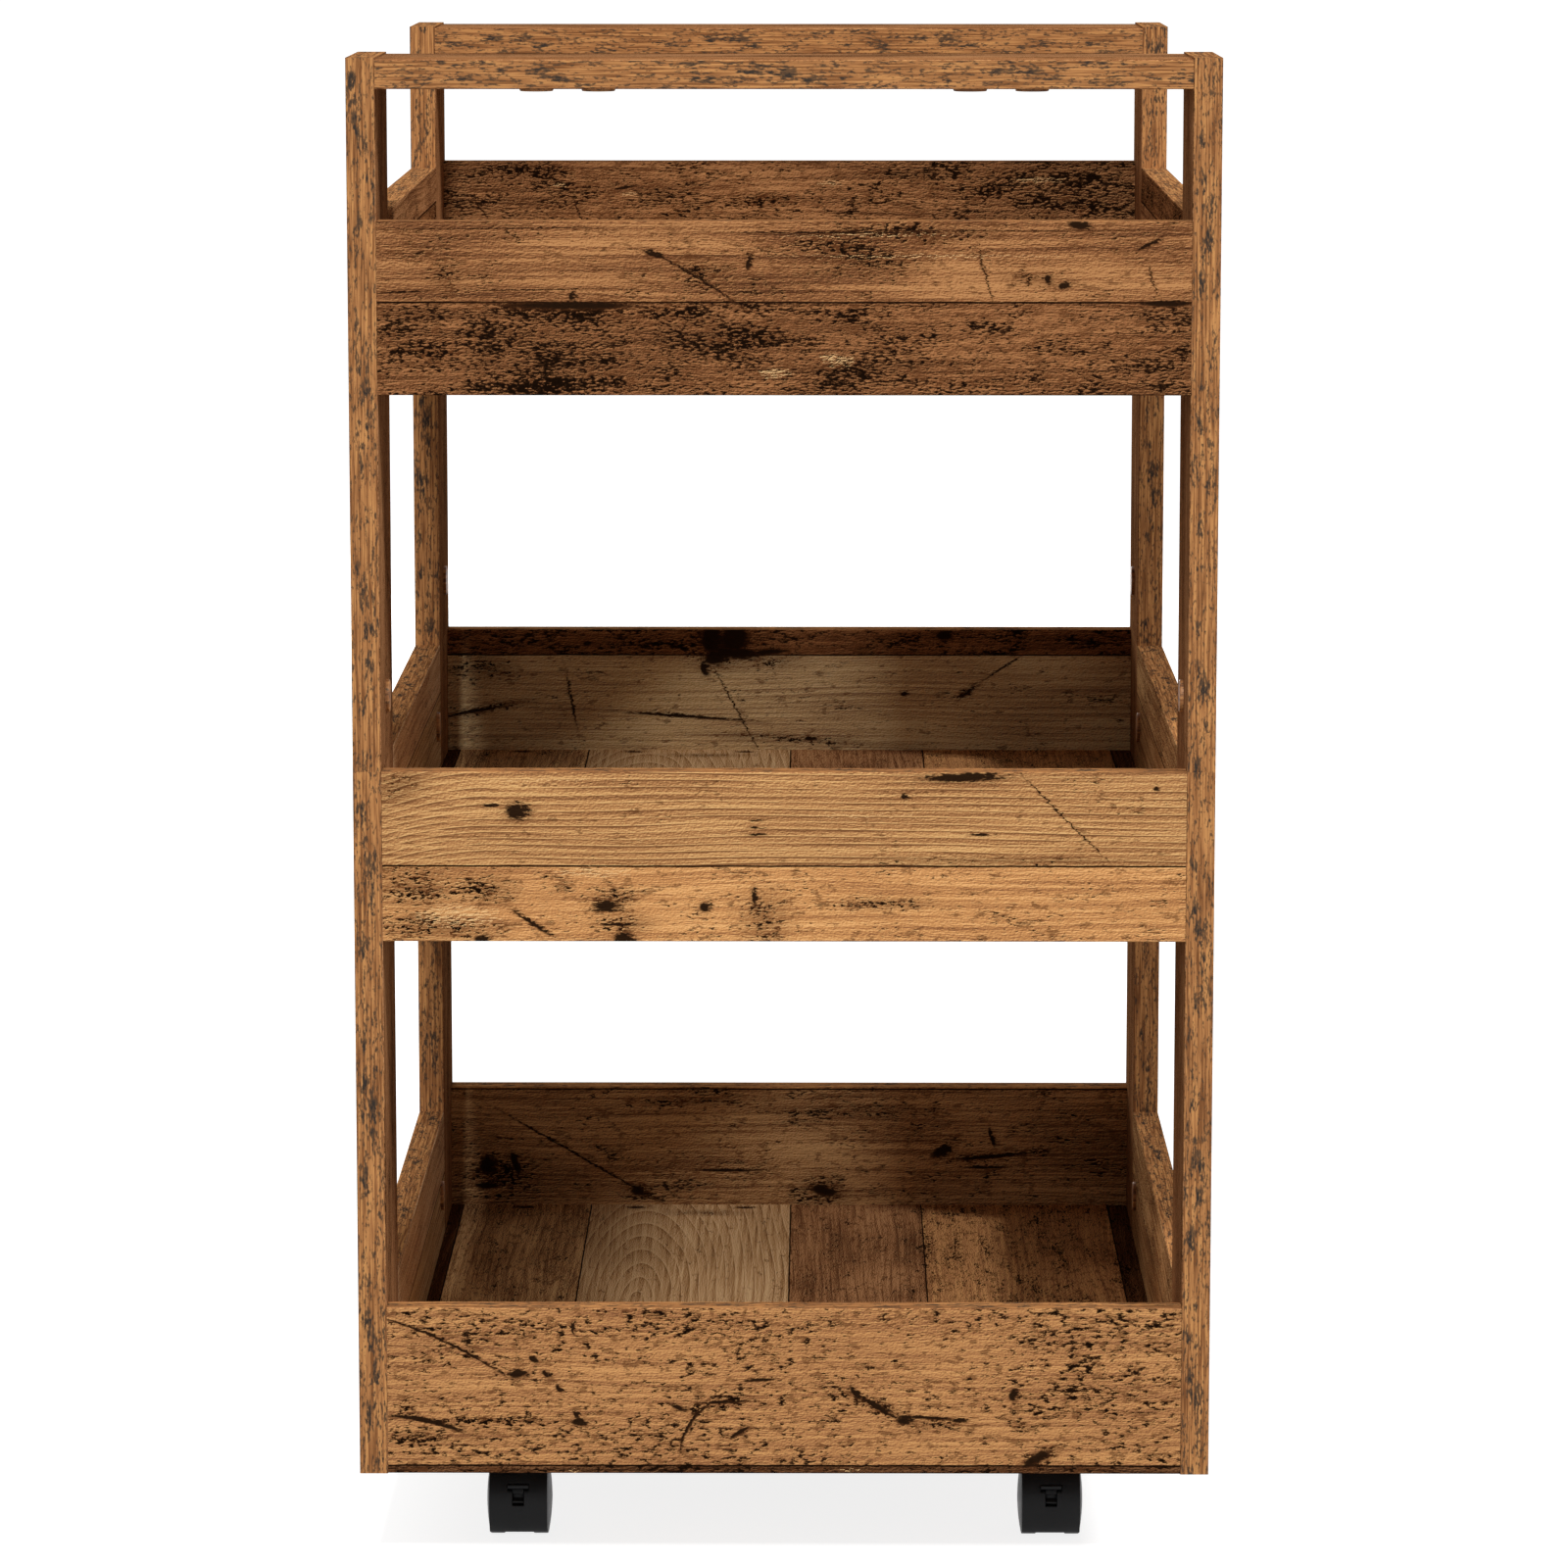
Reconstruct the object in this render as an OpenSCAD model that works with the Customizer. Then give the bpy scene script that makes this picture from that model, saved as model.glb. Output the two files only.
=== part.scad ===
// Open kitchen cart: eight post boards, two top rails, three box trays and four swivel casters.
// Millimetres. The origin lies on the floor under the middle, +Z is up and the front faces -Y.

/* [Overall] */
// Width over the posts
cart_w = 450; // [410:1:600]
// Depth over the posts
cart_d = 600; // [540:1:800]
// Height from the floor to the post tops
cart_h = 800; // [720:1:950]

/* [Boards] */
// Thickness of every board
board_t = 15; // [15:0.5:19]
// Depth of a post board, front to back
post_d = 90; // [84:1:110]
// Height of the boards round a tray
panel_h = 89.7; // [80:0.1:110]
// Depth of a top rail, front to back
rail_d = 90; // [84:1:110]
// Drop from the post tops to the upper edge of the top tray
top_drop = 83.6; // [60:0.1:120]
// Drop from the post tops to the rails
rail_drop = 1; // [0.5:0.1:5]
// Height of the trays' undersides above the post feet
foot_lift = 0.3; // [0.2:0.1:4]
// Chamfer along the long edges of a board
edge_c = 0.4; // [0.2:0.1:0.8]

/* [Cam locks and dowels] */
// Diameter of a cam housing
cam_d = 14.8; // [12:0.1:16]
// Distance from the joint to the middle of the cam
cam_inset = 34; // [30:1:40]
// Wood left behind a cam
cam_wall = 2.5; // [2:0.1:4]
// Diameter of the cam bolt's thread
cam_bolt_d = 6; // [5:0.1:6.4]
// Length of the cam bolt's thread
cam_bolt_grip = 11; // [8:0.5:16]
// Diameter of a dowel
dowel_d = 8; // [6:0.5:9]
// Length of a dowel
dowel_l = 30; // [20:1:40]
// Distance from a cam bolt to the dowel beside it
dowel_step = 24; // [20:1:26]

/* [Cover caps] */
// Diameter of a cover cap
cap_d = 17.5; // [16.5:0.1:20]
// Height of a cover cap above the board
cap_h = 1.9; // [1:0.1:3]
// Rounding on the rim of a cover cap
cap_r = 0.7; // [0.3:0.1:0.9]
// Distance of the first spare hole under a rail from its middle
spare_first_x = 96; // [60:1:110]
// Distance between the spare holes
spare_pitch = 32; // [24:1:40]
// Distance of the spare holes from the cart's front or rear face
spare_inset = 24; // [16:1:40]
// Diameter of a spare hole
spare_d = 5; // [4:0.1:7]

/* [Confirmat screws] */
// Diameter of the thread
screw_d = 5; // [4:0.1:6]
// Diameter of the neck in the outer board
screw_neck_d = 6.6; // [6.2:0.1:7]
// Diameter of the head
screw_head_d = 9.5; // [8.5:0.1:10]
// Height of the head
screw_head_h = 2.5; // [2:0.1:3.5]
// Length of the thread
screw_grip = 33; // [25:1:45]
// Thickness of the flush cap over the head
plug_t = 1.2; // [0.8:0.1:2]
// Height of a panel's screws above and below its middle
panel_screw_dz = 25; // [15:1:28]
// Distance of a rail's screws from the rail's long edges
rail_screw_inset = 20; // [15:1:30]
// Distance between the screws along the side of a floor
floor_screw_step = 130; // [90:1:150]

/* [Casters] */
// Height of a caster, from the floor to the mounting face
caster_h = 53.7; // [52:0.1:60]
// Distance of a swivel axis from the cart's side face
caster_side_inset = 81; // [65:1:100]
// Distance of a swivel axis from the cart's front or rear face
caster_inset = 93; // [85:1:120]
// Distance from the swivel axis to the axle
caster_trail = 15; // [13:0.5:18]
// Diameter of a wheel
wheel_d = 40; // [37:0.5:42]
// Width of a wheel's tread
tread_w = 8; // [7:0.1:10]
// Gap between the two wheels of a caster
wheel_gap = 15.4; // [14.6:0.1:18]
// Bulge of a wheel's outer face
dome_h = 1.9; // [1:0.1:3]
// Thickness of a wheel's rim
rim_t = 3; // [2.5:0.1:4]
// Thickness of a wheel's outer disc at the rim
disc_t = 2; // [1.5:0.1:3]
// Diameter of a wheel's hub
hub_d = 10; // [8.5:0.1:12]
// Diameter of the axle
axle_d = 5; // [4:0.1:6]
// Running gap between tread and hood
hood_gap = 0.9; // [0.6:0.1:1.5]
// Thickness of the hood
hood_t = 1.4; // [1:0.1:2]
// Height of the hood's lower edge above the floor
hood_low = 4; // [3:0.1:8]
// Height of the hood's back edge above the axle
hood_back = 11; // [8:0.5:14]
// Diameter of the swivel stem
stem_d = 8; // [6:0.1:9]
// Height of the stem's lower end above the floor
stem_low = 16; // [12:0.5:24]
// Width of the square mount plate
plate_w = 38; // [36:1:44]
// Thickness of the mount plate
plate_t = 2; // [1.5:0.1:3]
// Distance between the plate's screw holes
plate_pitch = 28; // [26:0.5:30]
// Diameter of the plate's screws
plate_screw_d = 3.5; // [3:0.1:4]
// Length of the plate's screws
plate_screw_l = 12; // [9:0.5:14]

/* [Brake] */
// Width of the lever's arm
lever_w = 5.8; // [4.5:0.1:6]
// Width of the lever's foot bar
foot_bar_w = 11; // [9:0.5:16]
// Height of the lever's foot bar
foot_bar_h = 2.2; // [1.6:0.1:2.6]
// Height of the foot bar above the axle
foot_bar_z = 10.6; // [10:0.1:11.5]
// How far the foot bar stands out of the hood
foot_bar_out = 1.6; // [1:0.1:4]
// Diameter of the brake bar that presses on the rims
shoe_d = 2.6; // [2:0.1:3]
// Gap from the brake bar to the rims when released
shoe_gap = 0.85; // [0.8:0.05:1.2]
// Distance from the lever's pivot to the brake bar
shoe_arm = 6.4; // [5.5:0.1:7]
// Angle of the brake bar round the axle, from the level
shoe_angle = 39.3; // [36:0.1:44]

/* [Clearances] */
// Clearance all round a fastener in its bore
bore_slack = 0.1; // [0.05:0.01:0.2]
// Extra depth at the end of a blind bore
end_slack = 0.4; // [0.2:0.1:1]
// Clearance all round a shaft that turns
run_slack = 0.08; // [0.03:0.01:0.1]
// Side gap between parts that turn past each other
side_gap = 0.2; // [0.1:0.05:0.4]

/* [Hidden] */
$fn = 48;
eps = 0.01;
over = 1;

// Trays, counted from the floor, and the posts that they are joined to
BOTTOM = 0;
MIDDLE = 1;
TOP = 2;
LOWER_TRAYS = [BOTTOM, MIDDLE];
UPPER_TRAYS = [TOP];

// Boards
half_w = cart_w / 2;
half_d = cart_d / 2;
in_x = half_w - board_t;
in_y = half_d - board_t;
side_y = half_d - post_d;
foot_z = caster_h - foot_lift;
tray_pitch = (cart_h - top_drop - panel_h - caster_h) / 2;
seam_z = tray_low(MIDDLE) + panel_h;
rail_z = cart_h - rail_drop - board_t;
board_mid_x = half_w - board_t / 2;
function tray_low(tray) = caster_h + tray * tray_pitch;
function tray_mid(tray) = tray_low(tray) + panel_h / 2;

// Fasteners
cam_bore_d = cam_d + 2 * bore_slack;
cam_depth = board_t - cam_wall;
cam_h = cam_depth - 2 * end_slack;
cam_shank_d = 4.6;
cam_shank_bore_d = cam_bolt_d + 1.5;
cam_head_d = 6;
cam_head_l = 3;
cam_entry_d = cam_head_d + 0.6;
cam_collar_d = cam_bolt_d + 1;
cam_collar_l = 1.5;
cam_slot_w = 1.4;
cam_slot_l = 9;
cam_slot_h = 1.6;
cam_key_d = 4.2;
cam_key_h = 3;
dowel_c = 1;
cap_peg_d = cam_key_d - 2 * bore_slack;
cap_peg_l = 2.4;
spare_depth = 10;
spare_peg_l = 7;
plug_peg_d = 3;
plug_peg_l = 1.4;
hex_d = 4;
hex_h = 2;
plug_over = 0.15;
plug_d = screw_head_d + 2 * plug_over;
tip_h = 2;
floor_screw_z = board_t / 2;

// Casters
wheel_r = wheel_d / 2;
rim_in_r = wheel_r - rim_t;
tread_c = 0.5;
hood_in_r = wheel_r + hood_gap;
hood_r = hood_in_r + hood_t;
hood_w = wheel_gap + 2 * tread_w;
web_gap = 0.9;
web_w = wheel_gap - 2 * web_gap;
web_lap = 0.3;
socket_floor = 3;
socket_low = stem_low - socket_floor;
flange_edge = 0.3;
flange_d = web_w - 2 * flange_edge;
flange_t = 1.2;
plate_z = caster_h - plate_t;
socket_top = plate_z - flange_t - side_gap;
neck_step = 1;
neck_d = stem_d - 2 * neck_step;
plate_corner_r = 3;
plate_head_d = 7;
plate_head_h = 2;
axle_wall = 1.5;
axle_grip = tread_w - axle_wall;
axle_l = wheel_gap + 2 * axle_grip;
caster_x = half_w - caster_side_inset;
caster_y = half_d - caster_inset;

// Brake: positions are [distance in front of the axle, height above the axle]
shoe_rad = rim_in_r - shoe_d / 2 - shoe_gap;
shoe_at = shoe_rad * [cos(shoe_angle), sin(shoe_angle)];
pivot_at = shoe_at - [0, shoe_arm];
foot_at = [sqrt(hood_r * hood_r - foot_bar_z * foot_bar_z), foot_bar_z];
pivot_d = 2.4;
pivot_wall = 1.2;
pivot_l = web_w - 2 * pivot_wall;
pivot_boss_d = 4.2;
lever_t = 3.2;
shoe_link_t = 2.6;
shoe_lap = 1.8;
shoe_l = wheel_gap + 2 * shoe_lap;
lever_gap = 0.25;
lever_travel = 1.5;
slot_low = -2.6;
slot_depth = 7.5;

WOOD = [0.66, 0.44, 0.25];
WOOD_DARK = [0.42, 0.27, 0.16];
BAND = [0.71, 0.46, 0.26];
ZINC = [0.72, 0.72, 0.74];
STEEL = [0.62, 0.63, 0.65];
BEECH = [0.86, 0.72, 0.52];
BLACK = [0.09, 0.09, 0.09];
DARK_GREY = [0.17, 0.17, 0.17];

// Everything at a corner is drawn at the front left one. A 1 mirrors it to the right or to the rear.
module corner(right, rear)
    mirror([right, 0, 0]) mirror([0, rear, 0]) children();

module all_corners()
    for (right = [0, 1], rear = [0, 1]) corner(right, rear) children();

// A board between two corners, with chamfers along its longest axis
module board(low, high) {
    size = high - low;
    long = max(size);
    translate(low)
        if (size.x == long) rotate([90, 0, 90]) bevelled(size.y, size.z, size.x);
        else if (size.y == long) translate([0, size.y, 0]) rotate([90, 0, 0])
            bevelled(size.x, size.z, size.y);
        else bevelled(size.x, size.y, size.z);
}

module bevelled(a, b, length) {
    c = edge_c;
    linear_extrude(length)
        polygon([[c, 0], [a - c, 0], [a, c], [a, b - c], [a - c, b], [c, b], [0, b - c], [0, c]]);
}

// Confirmat screws run along +X from the outer face of the left side
module at_panel_screws(trays)
    for (tray = trays, side = [-1, 1])
        translate([-half_w, board_t / 2 - half_d, tray_mid(tray) + side * panel_screw_dz]) children();

module at_rail_screws()
    for (y = [rail_screw_inset, rail_d - rail_screw_inset])
        translate([-half_w, y - half_d, rail_z + board_t / 2]) children();

module at_floor_screws(tray)
    for (step = [-1, 0, 1])
        translate([-half_w, step * floor_screw_step, tray_low(tray) + floor_screw_z]) children();

module confirmat_bore() rotate([0, 90, 0]) {
    translate([0, 0, -over])
        cylinder(d = plug_d + 2 * bore_slack, h = over + plug_t + bore_slack + screw_head_h + bore_slack);
    cylinder(d = screw_neck_d + 2 * bore_slack, h = board_t);
    cylinder(d = screw_d + 2 * bore_slack, h = board_t + screw_grip + end_slack);
}

module confirmat_screw() rotate([0, 90, 0]) difference() {
    head_z = plug_t + bore_slack;
    union() {
        translate([0, 0, head_z]) cylinder(d1 = screw_head_d, d2 = screw_neck_d, h = screw_head_h);
        translate([0, 0, head_z + screw_head_h])
            cylinder(d = screw_neck_d, h = board_t - head_z - screw_head_h);
        translate([0, 0, board_t]) cylinder(d = screw_d, h = screw_grip - tip_h);
        translate([0, 0, board_t + screw_grip - tip_h]) cylinder(d1 = screw_d, d2 = screw_d / 3, h = tip_h);
    }
    translate([0, 0, head_z - eps]) cylinder(d = hex_d, h = hex_h, $fn = 6);
}

module confirmat_cap() rotate([0, 90, 0]) {
    cylinder(d = plug_d, h = plug_t);
    cylinder(d = plug_peg_d, h = plug_t + plug_peg_l);
}

// Cam joints: the joint is at x = 0, the board with the cam runs along +X and its covered face is +Z
module at_seam_joint()
    translate([-board_mid_x, post_d / 2 - half_d, seam_z]) rotate([0, -90, 0]) rotate([180, 0, 0]) children();

module at_side_joints(trays)
    for (tray = trays)
        translate([-board_mid_x, -side_y, tray_mid(tray)]) rotate([90, 0, 90]) children();

module cam_joint_bore() {
    translate([cam_inset, 0, board_t / 2 - cam_depth]) cylinder(d = cam_bore_d, h = cam_depth + over);
    rotate([0, 90, 0]) cylinder(d = cam_shank_bore_d, h = cam_inset);
    rotate([0, -90, 0]) cylinder(d = cam_bolt_d + 2 * bore_slack, h = cam_bolt_grip + end_slack);
    for (side = [-1, 1])
        translate([-dowel_l / 2 - end_slack, side * dowel_step, 0]) rotate([0, 90, 0])
            cylinder(d = dowel_d + 2 * bore_slack, h = dowel_l + 2 * end_slack);
}

module cam_housing() translate([cam_inset, 0, board_t / 2 - end_slack - cam_h]) difference() {
    cylinder(d = cam_d, h = cam_h);
    // Entry for the bolt's head
    translate([-cam_d, 0, cam_h + end_slack - board_t / 2]) rotate([0, 90, 0])
        cylinder(d = cam_entry_d, h = cam_d + cam_head_l);
    // Cross slot and key hole for the driver and the cap's peg
    for (turn = [0, 90])
        rotate(turn) translate([-cam_slot_l / 2, -cam_slot_w / 2, cam_h - cam_slot_h])
            cube([cam_slot_l, cam_slot_w, over + cam_slot_h]);
    translate([0, 0, cam_h - cam_key_h]) cylinder(d = cam_key_d, h = cam_key_h + over);
}

module cam_bolt() rotate([0, 90, 0]) {
    translate([0, 0, -cam_bolt_grip]) cylinder(d = cam_bolt_d, h = cam_bolt_grip);
    cylinder(d = cam_collar_d, h = cam_collar_l);
    cylinder(d = cam_shank_d, h = cam_inset - cam_head_l / 2);
    translate([0, 0, cam_inset - cam_head_l / 2]) cylinder(d = cam_head_d, h = cam_head_l);
}

module dowel_pair() {
    for (side = [-1, 1])
        translate([-dowel_l / 2, side * dowel_step, 0]) rotate([0, 90, 0]) rotate_extrude()
            polygon([[0, 0], [dowel_d / 2 - dowel_c, 0], [dowel_d / 2, dowel_c],
                [dowel_d / 2, dowel_l - dowel_c], [dowel_d / 2 - dowel_c, dowel_l], [0, dowel_l]]);
}

// A cap lies on z = 0, with its rim rounded and its peg below
module cover_cap(peg_d, peg_l) {
    r = cap_d / 2;
    rim = [for (a = [0 : 15 : 90]) [r - cap_r + cap_r * cos(a), cap_h - cap_r + cap_r * sin(a)]];
    rotate_extrude() polygon(concat([[0, 0], [r, 0]], rim, [[0, cap_h]]));
    translate([0, 0, -peg_l]) cylinder(d = peg_d, h = peg_l + eps);
}

module at_spare_holes(rear) corner(0, rear)
    for (side = [-1, 1], x = [spare_first_x, spare_first_x + spare_pitch])
        translate([side * x, spare_inset - half_d, rail_z]) rotate([180, 0, 0]) children();

// Posts
module upper_post(right, rear) color(BAND) corner(right, rear) difference() {
    board([-half_w, -half_d, seam_z], [-in_x, -side_y, cart_h]);
    at_rail_screws() confirmat_bore();
    at_panel_screws(UPPER_TRAYS) confirmat_bore();
    at_side_joints(UPPER_TRAYS) cam_joint_bore();
    at_seam_joint() cam_joint_bore();
}

module lower_post(right, rear) color(BAND) corner(right, rear) difference() {
    board([-half_w, -half_d, foot_z], [-in_x, -side_y, seam_z]);
    at_panel_screws(LOWER_TRAYS) confirmat_bore();
    at_side_joints(LOWER_TRAYS) cam_joint_bore();
    at_seam_joint() cam_joint_bore();
}

module top_rail(rear) color(WOOD_DARK) difference() {
    corner(0, rear) board([-in_x, -half_d, rail_z], [in_x, rail_d - half_d, rail_z + board_t]);
    for (right = [0, 1]) corner(right, rear) at_rail_screws() confirmat_bore();
    at_spare_holes(rear) translate([0, 0, -spare_depth]) cylinder(d = spare_d, h = spare_depth + over);
}

// Trays
module end_board(tray, rear) color(WOOD) difference() {
    corner(0, rear) board([-in_x, -half_d, tray_low(tray)], [in_x, -in_y, tray_low(tray) + panel_h]);
    for (right = [0, 1]) corner(right, rear) at_panel_screws([tray]) confirmat_bore();
}

module side_board(tray, right) color(WOOD) difference() {
    corner(right, 0) board([-half_w, -side_y, tray_low(tray)], [-in_x, side_y, tray_low(tray) + panel_h]);
    for (rear = [0, 1]) corner(right, rear) at_side_joints([tray]) cam_joint_bore();
    corner(right, 0) at_floor_screws(tray) confirmat_bore();
}

module tray_floor(tray) color(WOOD_DARK) difference() {
    translate([-in_x, -in_y, tray_low(tray)]) cube([2 * in_x, 2 * in_y, board_t]);
    for (right = [0, 1]) corner(right, 0) at_floor_screws(tray) confirmat_bore();
    if (tray == BOTTOM) at_casters() at_plate_holes()
        translate([0, 0, caster_h - over]) cylinder(d = plate_screw_d + 2 * bore_slack,
            h = over + plate_screw_l - plate_t + end_slack);
}

// Fasteners
module cam_housings() color(ZINC) all_corners() {
    at_seam_joint() cam_housing();
    at_side_joints([BOTTOM, MIDDLE, TOP]) cam_housing();
}

module cam_bolts() color(STEEL) all_corners() {
    at_seam_joint() cam_bolt();
    at_side_joints([BOTTOM, MIDDLE, TOP]) cam_bolt();
}

module dowels() color(BEECH) all_corners() {
    at_seam_joint() dowel_pair();
    at_side_joints([BOTTOM, MIDDLE, TOP]) dowel_pair();
}

module at_all_confirmats() {
    all_corners() {
        at_rail_screws() children();
        at_panel_screws([BOTTOM, MIDDLE, TOP]) children();
    }
    for (right = [0, 1], tray = [BOTTOM, MIDDLE, TOP]) corner(right, 0) at_floor_screws(tray) children();
}

module confirmat_screws() color(STEEL) at_all_confirmats() confirmat_screw();

module confirmat_caps() color(WOOD) at_all_confirmats() confirmat_cap();

module cover_caps() color(BAND) {
    all_corners() {
        at_seam_joint() translate([cam_inset, 0, board_t / 2]) cover_cap(cap_peg_d, cap_peg_l);
        at_side_joints([BOTTOM, MIDDLE, TOP])
            translate([cam_inset, 0, board_t / 2]) cover_cap(cap_peg_d, cap_peg_l);
    }
    for (rear = [0, 1]) at_spare_holes(rear) cover_cap(spare_d - 2 * bore_slack, spare_peg_l);
}

// Casters: z counts from the floor, the swivel axis is x = y = 0 and the axle lies ahead of it
module caster(right, rear) corner(right, rear) translate([-caster_x, -caster_y, 0]) children();

module at_casters() for (right = [0, 1], rear = [0, 1]) caster(right, rear) children();

module at_plate_holes()
    for (x = [-1, 1], y = [-1, 1]) translate([x * plate_pitch / 2, y * plate_pitch / 2, 0]) children();

module at_axle() translate([0, -caster_trail, wheel_r]) rotate([0, 90, 0]) children();

module barrel(r, width) translate([0, 0, -width / 2]) cylinder(r = r, h = width);

module plate(right, rear) color(STEEL) caster(right, rear) translate([0, 0, plate_z]) difference() {
    inner = plate_w - 2 * plate_corner_r;
    linear_extrude(plate_t) {
        square([plate_w, inner], center = true);
        square([inner, plate_w], center = true);
        for (x = [-1, 1], y = [-1, 1]) translate([x, y] * inner / 2) circle(r = plate_corner_r);
    }
    through = plate_t + 2 * over;
    translate([0, 0, -over]) cylinder(d = neck_d + 2 * bore_slack, h = through);
    at_plate_holes() translate([0, 0, -over]) cylinder(d = plate_screw_d + 2 * bore_slack, h = through);
}

module stem(right, rear) color(STEEL) caster(right, rear) {
    translate([0, 0, stem_low]) cylinder(d = stem_d, h = plate_z - stem_low);
    translate([0, 0, plate_z - flange_t]) cylinder(d = flange_d, h = flange_t);
    translate([0, 0, plate_z - eps]) cylinder(d = neck_d, h = plate_t + eps);
}

module caster_screws() color(STEEL) at_casters() at_plate_holes() {
    translate([0, 0, plate_z - plate_head_h]) cylinder(d = plate_head_d, h = plate_head_h);
    translate([0, 0, plate_z - eps]) cylinder(d = plate_screw_d, h = plate_screw_l - tip_h + eps);
    translate([0, 0, plate_z + plate_screw_l - tip_h])
        cylinder(d1 = plate_screw_d, d2 = plate_screw_d / 3, h = tip_h);
}

module axle(right, rear) color(STEEL) caster(right, rear) at_axle() barrel(axle_d / 2, axle_l);

// A block across the caster, from one [distance ahead, height] corner to the other, seen from the axle
module across(width, low, high) {
    size = high - low;
    translate([-width / 2, -caster_trail - high[0], wheel_r + low[1]]) cube([width, size[0], size[1]]);
}

module bar_across(at, diameter, length)
    translate([0, -at[0], 0] + [0, 0, at[1]]) at_axle() barrel(diameter / 2, length);

module hood() difference() {
    at_axle() barrel(hood_r, hood_w);
    at_axle() barrel(hood_in_r, hood_w + 2 * over);
    across(hood_w + 2 * over, [-2 * hood_r, -2 * hood_r], [0, hood_back]);
}

module housing_body() {
    hood();
    at_axle() barrel(hood_in_r + web_lap, web_w);
    at_axle() barrel(hub_d / 2, wheel_gap - 2 * side_gap);
    translate([0, 0, socket_low]) cylinder(d = web_w, h = socket_top - socket_low);
}

module brake_slots() {
    far = 2 * hood_r;
    arm = lever_w + 2 * lever_gap;
    foot_low = foot_at[1] - foot_bar_h / 2 - lever_travel;
    foot_high = foot_at[1] + foot_bar_h / 2 + lever_gap;
    across(arm, [slot_depth, slot_low], [far, foot_high]);
    across(foot_bar_w + 2 * lever_gap, [foot_at[0] - 2 * hood_t, foot_low], [far, foot_high]);
    across(wheel_gap + over, shoe_at - [shoe_d / 2 + lever_gap, shoe_d / 2 + lever_gap],
        shoe_at + [shoe_d / 2 + lever_travel, shoe_d / 2 + lever_gap]);
    bar_across(pivot_at, pivot_d + 2 * run_slack, pivot_l + 2 * side_gap);
}

module housing(right, rear) color(BLACK) caster(right, rear) difference() {
    housing_body();
    // Flat underside
    across(2 * hood_w, [-2 * hood_r, -2 * hood_r], [2 * hood_r, hood_low - wheel_r]);
    translate([0, 0, stem_low - end_slack]) cylinder(d = stem_d + 2 * run_slack, h = caster_h);
    at_axle() barrel(axle_d / 2 + bore_slack, axle_l);
    if (rear == 0) brake_slots();
}

// One wheel, turned round its axle: [radius, distance from the inner face]
module wheel_body() {
    bore_r = axle_d / 2 + run_slack;
    disc_at = tread_w - disc_t;
    blind = axle_grip + end_slack;
    dome_r = wheel_r - tread_c;
    dome = [for (i = [0 : 12]) let (r = dome_r * (1 - i / 12))
        [r, tread_w + dome_h * (1 - pow(r / dome_r, 2))]];
    rotate_extrude($fn = 96)
        polygon(concat([[bore_r, 0], [hub_d / 2, 0], [hub_d / 2, disc_at], [rim_in_r, disc_at], [rim_in_r, 0],
            [wheel_r - tread_c, 0], [wheel_r, tread_c], [wheel_r, tread_w - tread_c]], dome,
            [[0, blind], [bore_r, blind]]));
}

// Outer is the wheel nearer the cart's side
module wheel(right, rear, outer) color(DARK_GREY) caster(right, rear) mirror([1 - outer, 0, 0])
    at_axle() translate([0, 0, -wheel_gap / 2]) mirror([0, 0, 1]) wheel_body();

module link(from, to, width) {
    run = to - from;
    translate(from) rotate(atan2(run[1], run[0])) translate([0, -width / 2]) square([norm(run), width]);
}

module brake_lever(right) color(DARK_GREY) caster(right, 0) {
    translate([-lever_w / 2, -caster_trail, wheel_r]) rotate([90, 0, 90]) mirror([1, 0, 0])
        linear_extrude(lever_w) {
            link(pivot_at, shoe_at, shoe_link_t);
            link(pivot_at, foot_at, lever_t);
            translate(pivot_at) circle(d = pivot_boss_d);
            translate(shoe_at) circle(d = shoe_link_t);
        }
    bar_across(pivot_at, pivot_d, pivot_l);
    bar_across(shoe_at, shoe_d, shoe_l);
    across(foot_bar_w, foot_at - [hood_t, foot_bar_h / 2], foot_at + [foot_bar_out, foot_bar_h / 2]);
}

upper_post(0, 0);  // post_upper_front_left
upper_post(1, 0);  // post_upper_front_right
upper_post(0, 1);  // post_upper_rear_left
upper_post(1, 1);  // post_upper_rear_right
lower_post(0, 0);  // post_lower_front_left
lower_post(1, 0);  // post_lower_front_right
lower_post(0, 1);  // post_lower_rear_left
lower_post(1, 1);  // post_lower_rear_right
top_rail(0);  // rail_front
top_rail(1);  // rail_rear
end_board(TOP, 0);  // tray_top_front
end_board(TOP, 1);  // tray_top_rear
side_board(TOP, 0);  // tray_top_left
side_board(TOP, 1);  // tray_top_right
tray_floor(TOP);  // tray_top_floor
end_board(MIDDLE, 0);  // tray_middle_front
end_board(MIDDLE, 1);  // tray_middle_rear
side_board(MIDDLE, 0);  // tray_middle_left
side_board(MIDDLE, 1);  // tray_middle_right
tray_floor(MIDDLE);  // tray_middle_floor
end_board(BOTTOM, 0);  // tray_bottom_front
end_board(BOTTOM, 1);  // tray_bottom_rear
side_board(BOTTOM, 0);  // tray_bottom_left
side_board(BOTTOM, 1);  // tray_bottom_right
tray_floor(BOTTOM);  // tray_bottom_floor
cam_housings();
cam_bolts();
dowels();
confirmat_screws();
confirmat_caps();
cover_caps();
caster_screws();
plate(0, 0);  // plate_front_left
plate(1, 0);  // plate_front_right
plate(0, 1);  // plate_rear_left
plate(1, 1);  // plate_rear_right
stem(0, 0);  // stem_front_left
stem(1, 0);  // stem_front_right
stem(0, 1);  // stem_rear_left
stem(1, 1);  // stem_rear_right
housing(0, 0);  // housing_front_left
housing(1, 0);  // housing_front_right
housing(0, 1);  // housing_rear_left
housing(1, 1);  // housing_rear_right
axle(0, 0);  // axle_front_left
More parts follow.
